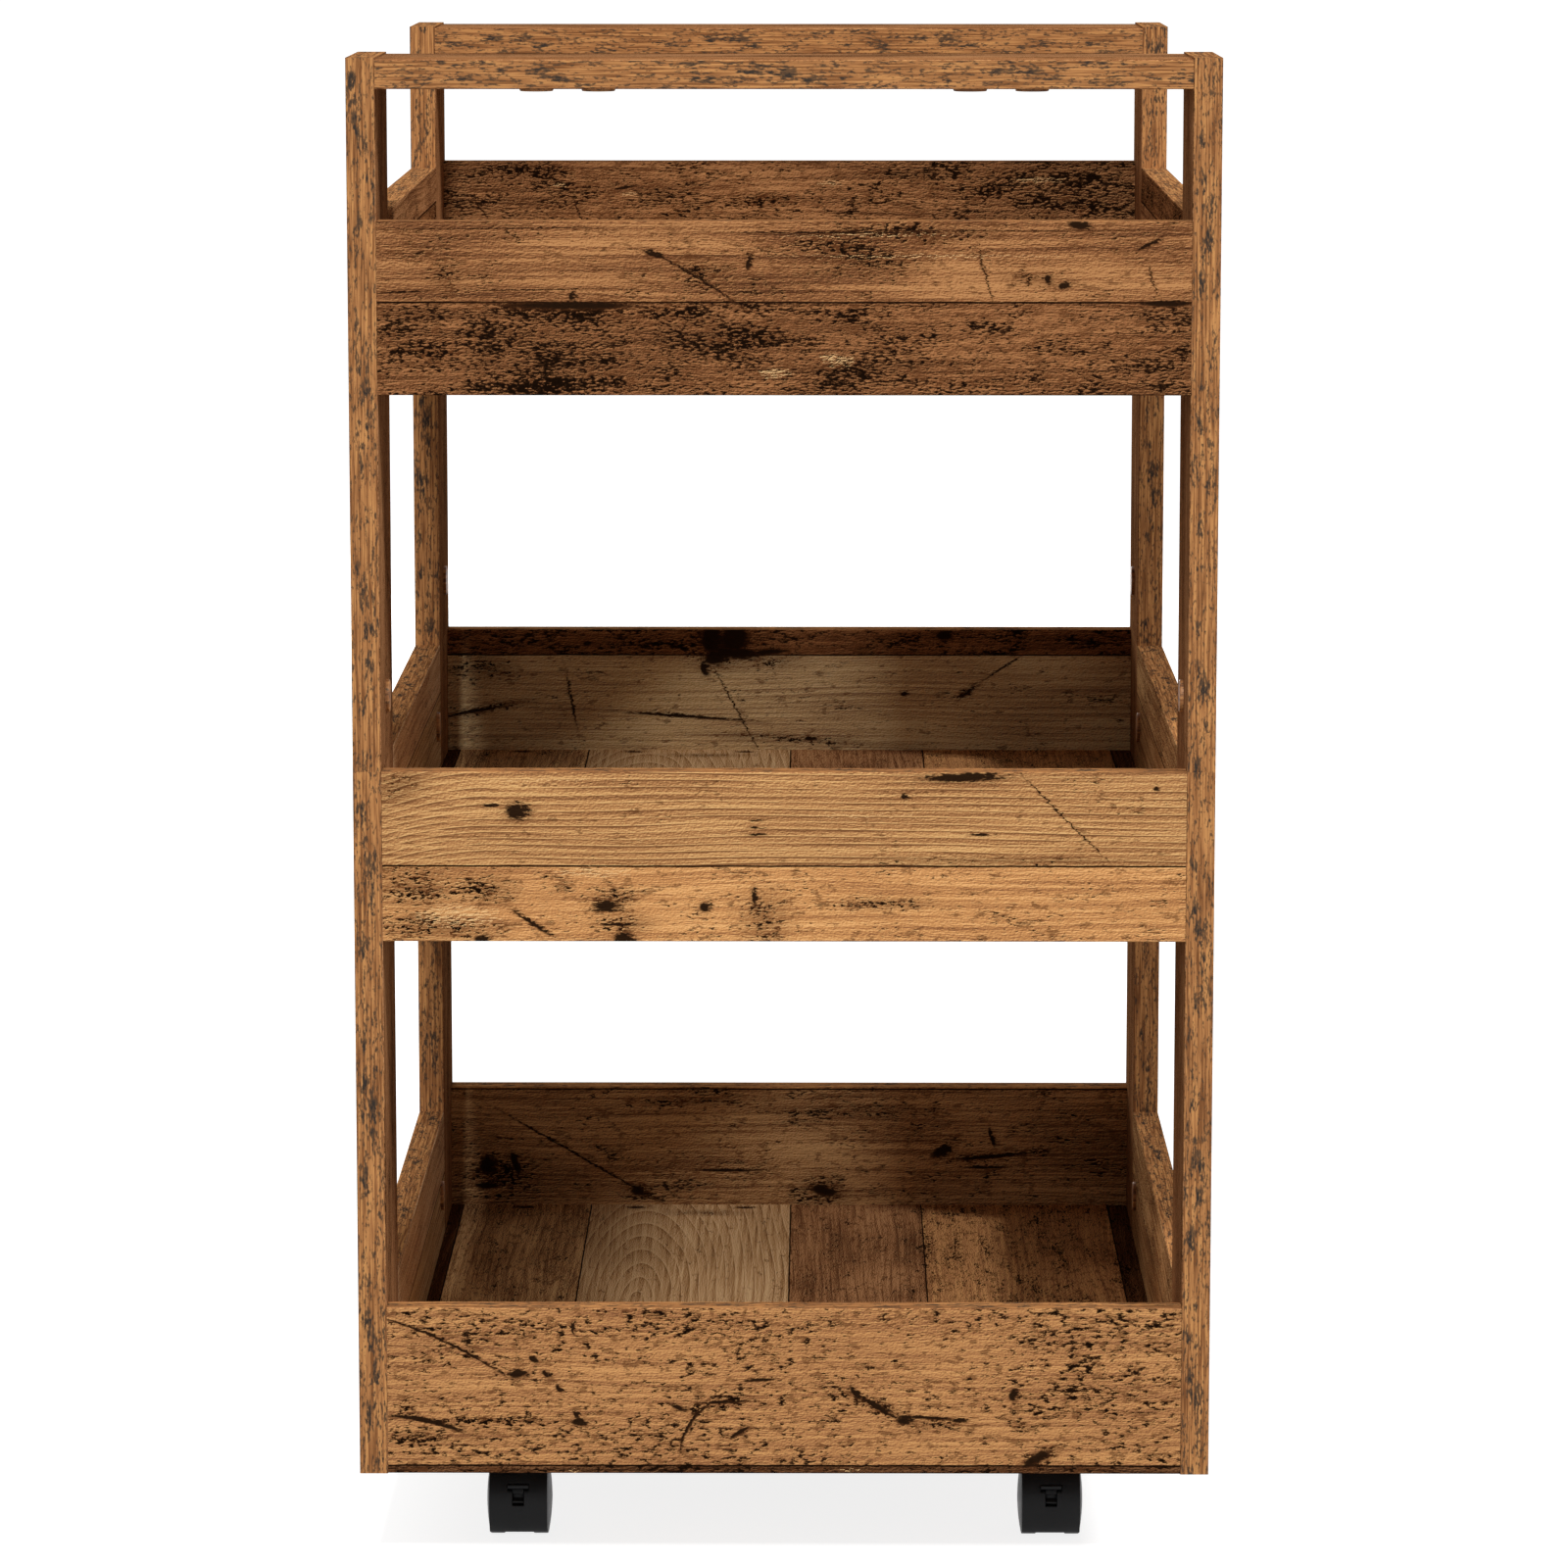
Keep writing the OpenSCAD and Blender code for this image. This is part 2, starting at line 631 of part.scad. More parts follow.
axle(1, 0);  // axle_front_right
axle(0, 1);  // axle_rear_left
axle(1, 1);  // axle_rear_right
wheel(0, 0, 1);  // wheel_front_left_outer
wheel(0, 0, 0);  // wheel_front_left_inner
wheel(1, 0, 1);  // wheel_front_right_outer
wheel(1, 0, 0);  // wheel_front_right_inner
wheel(0, 1, 1);  // wheel_rear_left_outer
wheel(0, 1, 0);  // wheel_rear_left_inner
wheel(1, 1, 1);  // wheel_rear_right_outer
wheel(1, 1, 0);  // wheel_rear_right_inner
brake_lever(0);  // brake_lever_front_left
brake_lever(1);  // brake_lever_front_right
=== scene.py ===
import math
from types import SimpleNamespace

import bmesh
import bpy
from mathutils import Matrix, Vector


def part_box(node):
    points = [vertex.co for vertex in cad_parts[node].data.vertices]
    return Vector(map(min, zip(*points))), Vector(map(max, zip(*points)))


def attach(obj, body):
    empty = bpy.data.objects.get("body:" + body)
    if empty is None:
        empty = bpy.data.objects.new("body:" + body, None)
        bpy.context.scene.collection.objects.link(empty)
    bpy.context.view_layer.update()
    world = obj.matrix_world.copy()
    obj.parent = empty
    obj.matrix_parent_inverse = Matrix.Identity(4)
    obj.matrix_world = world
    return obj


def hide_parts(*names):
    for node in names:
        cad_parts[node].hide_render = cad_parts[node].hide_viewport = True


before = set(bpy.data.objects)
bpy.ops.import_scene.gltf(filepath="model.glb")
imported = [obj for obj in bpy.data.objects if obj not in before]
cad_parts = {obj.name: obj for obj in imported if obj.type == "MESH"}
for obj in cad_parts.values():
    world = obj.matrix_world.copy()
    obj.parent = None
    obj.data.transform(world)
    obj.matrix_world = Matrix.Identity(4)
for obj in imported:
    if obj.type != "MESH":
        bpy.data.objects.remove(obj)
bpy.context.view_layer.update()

# Lengths are millimetres here and metres in Blender
MM = 0.001
ENDS = ("front", "rear")
SIDES = ("left", "right")
CORNERS = [f"{end}_{side}" for end in ENDS for side in SIDES]
TRAYS = ("bottom", "middle", "top")
BOARD_T = 15


def mm(*values):
    """A place in the scene, given in mm."""
    return Vector(values) * MM


def srgb(code):
    """Linear RGBA of an sRGB hex colour."""
    channels = [int(code[i:i + 2], 16) / 255 for i in (1, 3, 5)]
    linear = [c / 12.92 if c <= 0.04045 else ((c + 0.055) / 1.055) ** 2.4 for c in channels]
    return (*linear, 1)


def add(tree, kind, *inputs, stops=(), **named):
    """Adds a node and returns its first output in use.

    Inputs go to its sockets in their order, or by a name with a capital letter. One that is a socket is
    linked, and any other is set. Names in small letters are the node's own settings, and stops are those
    of a colour ramp.
    """
    node = tree.nodes.new("ShaderNode" + kind)
    for name, value in named.items():
        if name[0].islower():
            setattr(node, name, value)
    sockets = [s for s in node.inputs if s.enabled]
    chosen = list(zip(sockets, inputs))
    for name, value in named.items():
        chosen += [(s, value) for s in sockets if s.name == name.replace("_", " ")]
    for socket, value in chosen:
        if isinstance(value, bpy.types.NodeSocket):
            tree.links.new(value, socket)
        else:
            socket.default_value = value
    for number, (place, code) in enumerate(stops):
        points = node.color_ramp.elements
        point = points[number] if number < 2 else points.new(place)
        point.position = place
        point.color = srgb(code)
    return next((s for s in node.outputs if s.enabled), None)


def new_material(name):
    """An empty node material and its tree."""
    material = bpy.data.materials.new(name)
    material.use_nodes = True
    material.node_tree.nodes.clear()
    return material, material.node_tree


def in_scene(name, data):
    """A new object with a mesh, a lamp or a camera."""
    thing = bpy.data.objects.new(name, data)
    bpy.context.scene.collection.objects.link(thing)
    return thing


def new_piece(bm, name, material):
    """An object made from a bmesh, which is freed, in one material."""
    mesh = bpy.data.meshes.new(name)
    bm.to_mesh(mesh)
    bm.free()
    mesh.materials.append(material)
    return in_scene(name, mesh)


def object_mm(tree, origin=(0, 0, 0)):
    """Object coordinates in mm, counted from an origin in mm."""
    place = add(tree, "TexCoord").node.outputs["Object"]
    return add(tree, "Mapping", place, [-v for v in origin], (0, 0, 0), (1 / MM, 1 / MM, 1 / MM))


def blotches(tree, vector, size_mm, detail, roughness, shift=0):
    """Noise whose blotches measure about size_mm along the grain, across it and through the board.

    It stays near 0.5, with a spread of about 0.065.
    """
    place = add(tree, "Mapping", vector, (shift,) * 3, (0, 0, 0), [1 / s for s in size_mm])
    return add(tree, "TexNoise", place, 1, detail, roughness)


# Old-wood print. Tones are the colours below which 2, 10, 30, 50, 75 and 97 % of a plank lie, apart from
# its ink. worn says how rare the dark dashes are: 0 covers half of a plank, 1 a sixth and 2 a fortieth.
# rings says how strongly the growth rings show, painted_relief how strongly the emboss's painted shade and
# highlight show between the dashes, and cloudy how much lighter and darker its large areas are.
PLANKS = {
    "honey": dict(tones=("#462A1A", "#5E3B24", "#734A2E", "#835535", "#96643E", "#B98555"),
                  worn=1.5, rings=0.12, painted_relief=0.7, cloudy=1),
    "charred": dict(tones=("#3A2314", "#4F311E", "#664226", "#794D30", "#8D5C39", "#AA764B"),
                    worn=0.12, rings=0.1, painted_relief=0.9, cloudy=0.6),
    "golden": dict(tones=("#774F31", "#8E623D", "#A17148", "#AF7D4F", "#BD8B58", "#D9AB71"),
                   worn=2.7, rings=0.56, painted_relief=0.6, cloudy=0.3),
    "tan": dict(tones=("#895B3B", "#A87447", "#B78050", "#C08854", "#CE955D", "#E6B074"),
                worn=1.7, rings=0.1, painted_relief=0.4, cloudy=0.3),
    "amber": dict(tones=("#734B2F", "#8E5F40", "#A06F46", "#AD794C", "#BB8654", "#D09B63"),
                  worn=0.93, rings=0.06, painted_relief=0.8, cloudy=0.3),
    "umber": dict(tones=("#4F321F", "#6A452B", "#7C5235", "#8A5E3D", "#9B6C46", "#B4845A"),
                  worn=1.3, rings=0.16, painted_relief=0.8, cloudy=0.9),
    "ash": dict(tones=("#60422A", "#815A3A", "#966C47", "#A87D52", "#BC8E5F", "#DAAF79"),
                worn=1.3, rings=0.14, painted_relief=0.8, cloudy=0.9),
    "olive": dict(tones=("#5A3C26", "#785434", "#8C643F", "#9D7149", "#B08254", "#CC9E6D"),
                  worn=2.4, rings=0.1, painted_relief=0.5, cloudy=0.6),
    "straw": dict(tones=("#89634C", "#A87F5C", "#B78C68", "#C0956C", "#CEA378", "#E6C196"),
                  worn=2.2, rings=0.12, painted_relief=0.5, cloudy=0.6),
    "sand": dict(tones=("#89694F", "#A88760", "#B7956C", "#C09E70", "#CEAD7D", "#E6CD9C"),
                 worn=2, rings=0.2, painted_relief=0.6, cloudy=0.9),
    "scorched": dict(tones=("#402918", "#573824", "#714C2E", "#855939", "#9C6A44", "#BB8859"),
                     worn=0.35, rings=0.1, painted_relief=1.1, cloudy=0.8),
    "pale": dict(tones=("#795638", "#9A714A", "#A98155", "#B58C61", "#C39C70", "#D4B286"),
                 worn=2.6, rings=0.28, painted_relief=0.4, cloudy=0.3),
    "russet": dict(tones=("#5E3823", "#7A4D2F", "#8C5B38", "#9A6640", "#A8744A", "#C08B5B"),
                   worn=1.5, rings=0.16, painted_relief=0.7, cloudy=0.9),
    "dark": dict(tones=("#1E120A", "#2E1C10", "#3E2717", "#4C311F", "#5F3F28", "#7C5537"),
                 worn=0.5, rings=0.1, painted_relief=0.9, cloudy=0.6),
}
# Where the six tones lie on the colour ramp, for the spread of the mixed noise
TONE_PLACES = (0.09, 0.244, 0.396, 0.5, 0.635, 0.876)
STAIN = "#56321B"
DASH_INK = "#321E11"
INK = "#160C06"
MARK_INK = "#21140B"
# Colour of the painted highlight specks in the flecks areas
PAINTED_FLECK_HIGHLIGHT = "#E6BC84"
# Growth rings lie this far apart in mm, and the wave texture's own this far
RING_STEP = 3.6
WAVE_STEP = 0.314
# Fanned rings bend down by this drop within this length, in mm
FAN_LENGTH = 58
FAN_DROP = 9
# Each board's print is cut this many mm further on in the noise
SEED_STEP = 41.7
# The key light comes from the upper left, so the colour gets a painted highlight on the lower right of the
# print's pits and painted shade on their upper left. This step toward that light is in mm
TOWARD_PAINTED_LIGHT = (-0.25, 0.35, 0)
# What the large areas, the patches and the single dashes add to the ink, and the streaks to the tone
CLOUD_SHARE = 3
PATCH_SHARE = 6.5
DASH_SHARE = 14
STREAK_SHARE = 1.6
# How far the dashes tear the outline of an area, in mm for 1 of noise, and the share that thin marks take
TEAR = (22, 9, 0)
FRAY = (0.35, 0.35, 0.35)
# Distances to a mark are 1 at its edge, and this is past all that a mark draws
FAR = 3


def board_vector(tree, axes, origin):
    """Position on a board in mm: along the grain, across it, and through it from the middle plane."""
    split = add(tree, "SeparateXYZ", object_mm(tree, origin)).node.outputs
    return add(tree, "CombineXYZ", *[split[axis.upper()] for axis in axes])


def nearest(tree, vector, marks, face):
    """How far the nearest mark is, 1 at a mark's edge. Marks are long or round, straight or bowed."""
    reach = FAR
    for mark in marks:
        u, v, length, width, turn, bow = (*mark, 0, 0)[:6]
        place = (u, v, face * BOARD_T / 2)
        size = (length / 2, width / 2, BOARD_T / 2)
        spot = add(tree, "Mapping", vector, place, (0, 0, math.radians(turn)), size, vector_type="TEXTURE")
        if bow:
            split = add(tree, "SeparateXYZ", spot).node.outputs
            square = add(tree, "Math", split["X"], split["X"], operation="MULTIPLY")
            lift = add(tree, "Math", square, 2 * bow / width, split["Y"], operation="MULTIPLY_ADD")
            spot = add(tree, "CombineXYZ", split["X"], lift, split["Z"])
        away = add(tree, "VectorMath", spot, operation="LENGTH").node.outputs["Value"]
        reach = add(tree, "Math", away, reach, operation="MINIMUM")
    return reach


def with_painted_shade(tree, drawn, toward_light, size_mm, detail, roughness, shift):
    """A noise, the same noise a step toward the light, and the rise between them, which is painted as
    shade and highlight.
    """
    here = blotches(tree, drawn, size_mm, detail, roughness, shift)
    above = blotches(tree, toward_light, size_mm, detail, roughness, shift)
    return here, above, add(tree, "Math", above, here, operation="SUBTRACT")


def print_noise(tree, board, seed, dashes, patches):
    """The noises that one board's print is mixed from."""
    drawn = add(tree, "VectorMath", board, (0, 0, SEED_STEP * seed), operation="ADD")
    # The grain wanders across the board by a few mm
    drift = blotches(tree, drawn, (190, 50, 60), 1, 0.5)
    drift = add(tree, "Math", drift, 10, -5, operation="MULTIPLY_ADD")
    drawn = add(tree, "VectorMath", drawn, add(tree, "CombineXYZ", 0, drift, 0), operation="ADD")
    # A step toward the light, for the painted shade and highlight of the emboss
    toward_light = add(tree, "VectorMath", drawn, TOWARD_PAINTED_LIGHT, operation="ADD")
    noise = SimpleNamespace(board=board, drawn=drawn)
    noise.streak = blotches(tree, drawn, (120, 2.2, 20), 4, 0.65)
    # Fibres and grit are finer on the real print. These are as fine as the render can show
    noise.fibre, _, noise.fibre_rise = with_painted_shade(tree, drawn, toward_light, (5, 0.6, 5), 2, 0.6, 3.1)
    _, _, noise.grit_rise = with_painted_shade(tree, drawn, toward_light, (1.5, 0.9, 3), 1, 0.5, 27)
    noise.dash, noise.dash_above, noise.dash_rise = with_painted_shade(
        tree, drawn, toward_light, (*dashes, 4), 5, 0.66, 7.7)
    noise.patch = blotches(tree, drawn, (*patches, 18), 2, 0.6, 12.3)
    noise.cloud = blotches(tree, drawn, (110, 34, 50), 1, 0.5, 21.9)
    noise.murk = blotches(tree, drawn, (8, 4, 8), 3, 0.6, 31)
    return noise


def growth_rings(tree, noise, rings, fan):
    """Strength of the growth rings: each a sharp dark edge with a light line beside it."""
    spread = add(tree, "SeparateXYZ", noise.drawn).node.outputs
    height = spread["Y"]
    if fan is not None:
        before = add(tree, "MapRange", spread["X"], fan, fan - FAN_LENGTH, 0, math.sqrt(FAN_DROP))
        height = add(tree, "Math", before, before, height, operation="MULTIPLY_ADD")
    place = add(tree, "CombineXYZ", spread["X"], height, 0)
    place = add(tree, "Mapping", place, (*rings[:2], 0), (0, 0, 0), (*rings[2:], 1), vector_type="TEXTURE")
    saw = add(tree, "TexWave", place, WAVE_STEP / RING_STEP, 2.2, 2, 0.35, 0.6, wave_type="RINGS",
              rings_direction="Z", wave_profile="SAW").node.outputs["Fac"]
    edge = add(tree, "Math", saw, 5, operation="POWER")
    beside = add(tree, "Math", 1, saw, operation="SUBTRACT")
    beside = add(tree, "Math", beside, 7, operation="POWER")
    growth = add(tree, "Math", edge, beside, operation="SUBTRACT")
    uneven = add(tree, "MapRange", noise.streak, 0.6, 0.42, 0.4, 1.5)
    return add(tree, "Math", growth, uneven, operation="MULTIPLY")


def lay_ink(tree, noise, mottled, face):
    """How thick the ink lies, in spreads of the mixed noise.

    torn and frayed are positions on the board, shifted by the dashes, so that marks drawn there look torn.
    """
    ink = SimpleNamespace(inside=0)
    rest = -(CLOUD_SHARE + PATCH_SHARE + DASH_SHARE) / 2
    load = add(tree, "Math", noise.cloud, CLOUD_SHARE, rest, operation="MULTIPLY_ADD")
    load = add(tree, "Math", noise.patch, PATCH_SHARE, load, operation="MULTIPLY_ADD")
    torn = add(tree, "CombineXYZ", noise.dash, noise.dash_above, 0)
    torn = add(tree, "VectorMath", torn, TEAR, [-t / 2 for t in TEAR], operation="MULTIPLY_ADD")
    ink.frayed = add(tree, "VectorMath", torn, FRAY, noise.board, operation="MULTIPLY_ADD")
    ink.torn = add(tree, "VectorMath", noise.board, torn, operation="ADD")
    if mottled:
        ink.inside = add(tree, "MapRange", nearest(tree, ink.torn, mottled, face), 1.3, 0.1)
        dots = blotches(tree, noise.drawn, (2.6, 1.4, 3), 2, 0.6, 16)
        dots = add(tree, "Math", dots, 14, -5.4, operation="MULTIPLY_ADD")
        load = add(tree, "Math", ink.inside, dots, load, operation="MULTIPLY_ADD")
    ink.load_above = add(tree, "Math", noise.dash_above, DASH_SHARE, load, operation="MULTIPLY_ADD")
    ink.load = add(tree, "Math", noise.dash, DASH_SHARE, load, operation="MULTIPLY_ADD")
    brown = add(tree, "Math", noise.murk, 14, -7, operation="MULTIPLY_ADD")
    ink.brown = add(tree, "Math", ink.load, 0.7, brown, operation="MULTIPLY_ADD")
    return ink


def bare_tone(tree, noise, ink, light, face):
    """Tone of the bare wood between the dashes, which every plank shares, with the painted shade and
    highlight of its fibres and grit.
    """
    rest = 0.5 - 0.5 * STREAK_SHARE
    tone = add(tree, "Math", noise.streak, STREAK_SHARE, rest, operation="MULTIPLY_ADD")
    # Painted shade and highlight of the fibres' and grit's emboss
    tone = add(tree, "Math", noise.fibre_rise, 1.2, tone, operation="MULTIPLY_ADD")
    tone = add(tree, "Math", noise.grit_rise, 1.1, tone, operation="MULTIPLY_ADD")
    if light:
        glow = add(tree, "MapRange", nearest(tree, ink.torn, light, face), 1.5, 0.1, 0, 0.16)
        tone = add(tree, "Math", tone, glow, operation="ADD")
    return tone


def paint_plank(tree, noise, ink, tone, growth, style):
    """One plank's colour, and how much of it is worn away."""
    edge = style["worn"]
    # Painted shade and highlight of the dashes' emboss, stronger in mottled areas
    painted_shade_gain = add(tree, "Math", ink.inside, 2, style["painted_relief"], operation="MULTIPLY_ADD")
    tone = add(tree, "Math", noise.dash_rise, painted_shade_gain, tone, operation="MULTIPLY_ADD")
    tone = add(tree, "Math", growth, -style["rings"], tone, operation="MULTIPLY_ADD")
    uneven = add(tree, "Math", 0.5, noise.cloud, operation="SUBTRACT")
    tone = add(tree, "Math", uneven, style["cloudy"], tone, operation="MULTIPLY_ADD")
    color = add(tree, "ValToRGB", tone, stops=list(zip(TONE_PLACES, style["tones"])))
    # Brown stain spreads a little further than the dashes
    stained = add(tree, "MapRange", ink.brown, edge - 0.6, edge + 0.4, 0, 0.6)
    stained = add(tree, "Math", ink.inside, 0.55, stained, operation="MULTIPLY_ADD", use_clamp=True)
    color = add(tree, "Mix", stained, color, srgb(STAIN), data_type="RGBA")
    # Dashes, with a painted highlight on the lower right rim of each and soaked middles in the dense ones
    bare, full = edge - 0.15, edge + 0.55
    worn = add(tree, "MapRange", ink.load, bare, full)
    painted_rim_highlight = add(tree, "MapRange", ink.load_above, bare, full)
    painted_rim_highlight = add(tree, "Math", painted_rim_highlight, worn, operation="SUBTRACT", use_clamp=True)
    painted_rim_highlight = add(tree, "Math", painted_rim_highlight, 0.7, operation="MULTIPLY")
    color = add(tree, "Mix", painted_rim_highlight, color, srgb(style["tones"][-1]), data_type="RGBA")
    worn = add(tree, "Math", worn, 0.75, operation="MULTIPLY")
    color = add(tree, "Mix", worn, color, srgb(DASH_INK), data_type="RGBA")
    soaked = add(tree, "MapRange", ink.load, edge + 0.4, edge + 1.5)
    return add(tree, "Mix", soaked, color, srgb(INK), data_type="RGBA"), worn


def past_seam(tree, noise, seam, before, after):
    """Colour and wear of two planks that meet at a seam, a dark line of slightly uneven place."""
    across = add(tree, "SeparateXYZ", noise.board).node.outputs["Y"]
    past = add(tree, "Math", across, seam, operation="GREATER_THAN")
    color = add(tree, "Mix", past, before[0], after[0], data_type="RGBA")
    worn = add(tree, "Mix", past, before[1], after[1], data_type="FLOAT")
    gap = add(tree, "Math", noise.patch, 0.8, seam - 0.4, operation="MULTIPLY_ADD")
    gap = add(tree, "Math", across, gap, operation="SUBTRACT")
    gap = add(tree, "Math", gap, operation="ABSOLUTE")
    gap = add(tree, "MapRange", gap, 0.6, 0.3)
    worn = add(tree, "Math", worn, gap, operation="MAXIMUM")
    return add(tree, "Mix", gap, color, srgb(INK), data_type="RGBA"), worn


def add_dark_marks(tree, noise, ink, marks, face, color, worn):
    """Knots, cracks and scratches: torn at their edges, with a stained rim."""
    reach = add(tree, "Math", nearest(tree, ink.frayed, marks, face), 1.3, operation="SUBTRACT")
    reach = add(tree, "Math", noise.dash, 2.6, reach, operation="MULTIPLY_ADD")
    rim = add(tree, "Math", noise.dash_rise, 9, reach, operation="MULTIPLY_ADD")
    rim = add(tree, "MapRange", rim, 1.7, 1.3, 0, 0.35)
    color = add(tree, "Mix", rim, color, srgb(STAIN), data_type="RGBA")
    mask = add(tree, "MapRange", reach, 1.15, 0.8, 0, 0.98)
    worn = add(tree, "Math", worn, mask, operation="MAXIMUM")
    return add(tree, "Mix", mask, color, srgb(MARK_INK), data_type="RGBA"), worn


def old_wood(name, axes, origin, planks, seams=(), dark=(), mottled=(), flecks=(), light=(), face=1,
             seed=0, rings=(0, -160, 15, 1), fan=None, dashes=(4, 1.3), patches=(26, 9), behind=0):
    """Particle board with a printed old-wood foil: matt, with a shallow embossed grain and no sheen.

    planks are names in PLANKS, split by the seams in mm across the board. dark marks, mottled patches,
    flecks and light areas lie on one face only: (along, across, length, width, turn in degrees, bow in
    mm). flecks are the areas that get painted highlight specks beside the dashes. dashes and patches are
    the usual sizes of the dark dashes and of the areas where they are dense, in mm. rings gives the middle
    of the growth rings, along and across, and how far they are drawn out along and across the grain.
    Before the place fan, along the grain, the rings bend down. behind is how much of the brown stain lies
    over the other face, which has another part of the print. The emboss's shade and highlight are painted
    into the colour as well, as if lit from the upper left.
    """
    material, tree = new_material(name)
    board = board_vector(tree, axes, origin)
    noise = print_noise(tree, board, seed, dashes, patches)
    growth = growth_rings(tree, noise, rings, fan)
    ink = lay_ink(tree, noise, mottled, face)
    tone = bare_tone(tree, noise, ink, light, face)
    painted = [paint_plank(tree, noise, ink, tone, growth, PLANKS[plank]) for plank in planks]
    color, worn = painted[0]
    for seam, plank in zip(seams, painted[1:]):
        color, worn = past_seam(tree, noise, seam, (color, worn), plank)
    if behind:
        other = add(tree, "SeparateXYZ", board).node.outputs["Z"]
        other = add(tree, "MapRange", other, face, -face, 0, behind)
        color = add(tree, "Mix", other, color, srgb(STAIN), data_type="RGBA")
    if dark:
        color, worn = add_dark_marks(tree, noise, ink, dark, face, color, worn)
    if flecks:
        # Painted highlight specks on the lit side of the dashes, in the flecks areas
        painted_fleck_specks = add(tree, "MapRange", nearest(tree, ink.torn, flecks, face), 1.4, 0.2)
        painted_fleck_specks = add(tree, "Math", noise.dash_rise, painted_fleck_specks, operation="MULTIPLY")
        painted_fleck_specks = add(tree, "MapRange", painted_fleck_specks, 0.02, 0.04)
        color = add(tree, "Mix", painted_fleck_specks, color, srgb(PAINTED_FLECK_HIGHLIGHT), data_type="RGBA")

    # The narrow faces take the edge banding
    normal = add(tree, "SeparateXYZ", add(tree, "TexCoord").node.outputs["Normal"]).node.outputs
    facing = add(tree, "Math", normal[axes[2].upper()], operation="ABSOLUTE")
    on_edge = add(tree, "MapRange", facing, 0.5, 0.45)
    band, band_fleck = edge_band(tree, board, normal[axes[0].upper()], seed)
    color = add(tree, "Mix", on_edge, color, band, data_type="RGBA")
    worn = add(tree, "Mix", on_edge, worn, band_fleck, data_type="FLOAT")
    # The foil is embossed: fine fibres, and dashes that are shallow pits
    pits = add(tree, "MapRange", noise.dash, 0.52, 0.62, 0, -0.8)
    level = add(tree, "Math", noise.fibre, 0.8, pits, operation="MULTIPLY_ADD")
    bump = add(tree, "Bump", Height=level, Strength=0.3, Distance=0.1 * MM)
    roughness = add(tree, "MapRange", worn, 0, 1, 0.7, 0.82)
    shader = add(tree, "BsdfPrincipled", Base_Color=color, Roughness=roughness, Specular_IOR_Level=0,
                 Normal=bump)
    add(tree, "OutputMaterial", shader)
    return material


# Edge banding: a printed plastic strip, orange-brown with dark grey flecks and a knot at even steps
BAND_TONES = ((0.1, "#774D2F"), (0.3, "#92633D"), (0.5, "#A57146"), (0.7, "#B27D4D"), (0.9, "#C28B55"))
BAND_FLECK = "#4A3C30"
BAND_KNOT = "#35302C"
KNOT_STEP = 126
# How far one board's banding is moved from the next one's, along it in mm and within the noise
KNOT_SHIFT = 31
BAND_SEED_STEP = 17.3
# The knots of one step: (place along and through, length and width) in mm
BAND_MARKS = (((0, 1.2), (13, 6)), ((12, -2), (9, 3)), ((-17, 1.8), (12, 3)), ((33, -3), (8, 3)),
              ((-40, -2), (12, 3)))


def band_brown(tree, streak):
    """The banding's browns, spread over a streaky noise."""
    return add(tree, "ValToRGB", add(tree, "MapRange", streak, 0.36, 0.64), stops=BAND_TONES)


def edge_band(tree, board, end_facing, seed):
    """Colour and fleck mask of the banding on a board's narrow faces."""
    split = add(tree, "SeparateXYZ", board).node.outputs
    on_end = add(tree, "Math", end_facing, operation="ABSOLUTE")
    on_end = add(tree, "MapRange", on_end, 0.4, 0.6)
    along = add(tree, "Mix", on_end, split["X"], split["Y"], data_type="FLOAT")
    strip = add(tree, "CombineXYZ", along, split["Z"], BAND_SEED_STEP * seed)
    streak = blotches(tree, strip, (34, 1.1, 9), 3, 0.66, 1.9)
    speckle = blotches(tree, strip, (3.6, 1.1, 5), 3, 0.6, 5.3)
    patch = blotches(tree, strip, (16, 4, 9), 2, 0.55, 8.1)
    plain = band_brown(tree, streak)
    load = add(tree, "Math", patch, 5, -8, operation="MULTIPLY_ADD")
    load = add(tree, "Math", speckle, 11, load, operation="MULTIPLY_ADD")
    place = add(tree, "Math", along, KNOT_SHIFT * (seed % 4), operation="ADD")
    place = add(tree, "Math", place, KNOT_STEP / 2, -KNOT_STEP / 2, operation="WRAP")
    spot = add(tree, "CombineXYZ", place, split["Z"], 0)
    torn = add(tree, "CombineXYZ", speckle, patch, 0)
    torn = add(tree, "VectorMath", torn, (16, 8, 0), (-8, -4, 0), operation="MULTIPLY_ADD")
    spot = add(tree, "VectorMath", spot, torn, operation="ADD")
    reach = FAR
    for at, (length, width) in BAND_MARKS:
        size = (length / 2, width / 2, 1)
        mark = add(tree, "Mapping", spot, (*at, 0), (0, 0, 0), size, vector_type="TEXTURE")
        away = add(tree, "VectorMath", mark, operation="LENGTH").node.outputs["Value"]
        reach = add(tree, "Math", away, reach, operation="MINIMUM")
    inside = add(tree, "MapRange", reach, 1.5, 0.3, 0, 1.9)
    load = add(tree, "Math", load, inside, operation="ADD")
    flecks = add(tree, "MapRange", load, 0.4, 1.2, 0, 0.82)
    color = add(tree, "Mix", flecks, plain, srgb(BAND_FLECK), data_type="RGBA")
    knots = add(tree, "MapRange", load, 1.8, 2.6, 0, 0.9)
    color = add(tree, "Mix", knots, color, srgb(BAND_KNOT), data_type="RGBA")
    fleck_depth = add(tree, "Math", flecks, 0.3, operation="MULTIPLY")
    return color, fleck_depth


def low_of(node, axis):
    """Where a CAD node starts along an axis, in mm."""
    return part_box(node)[0]["xyz".index(axis)] / MM


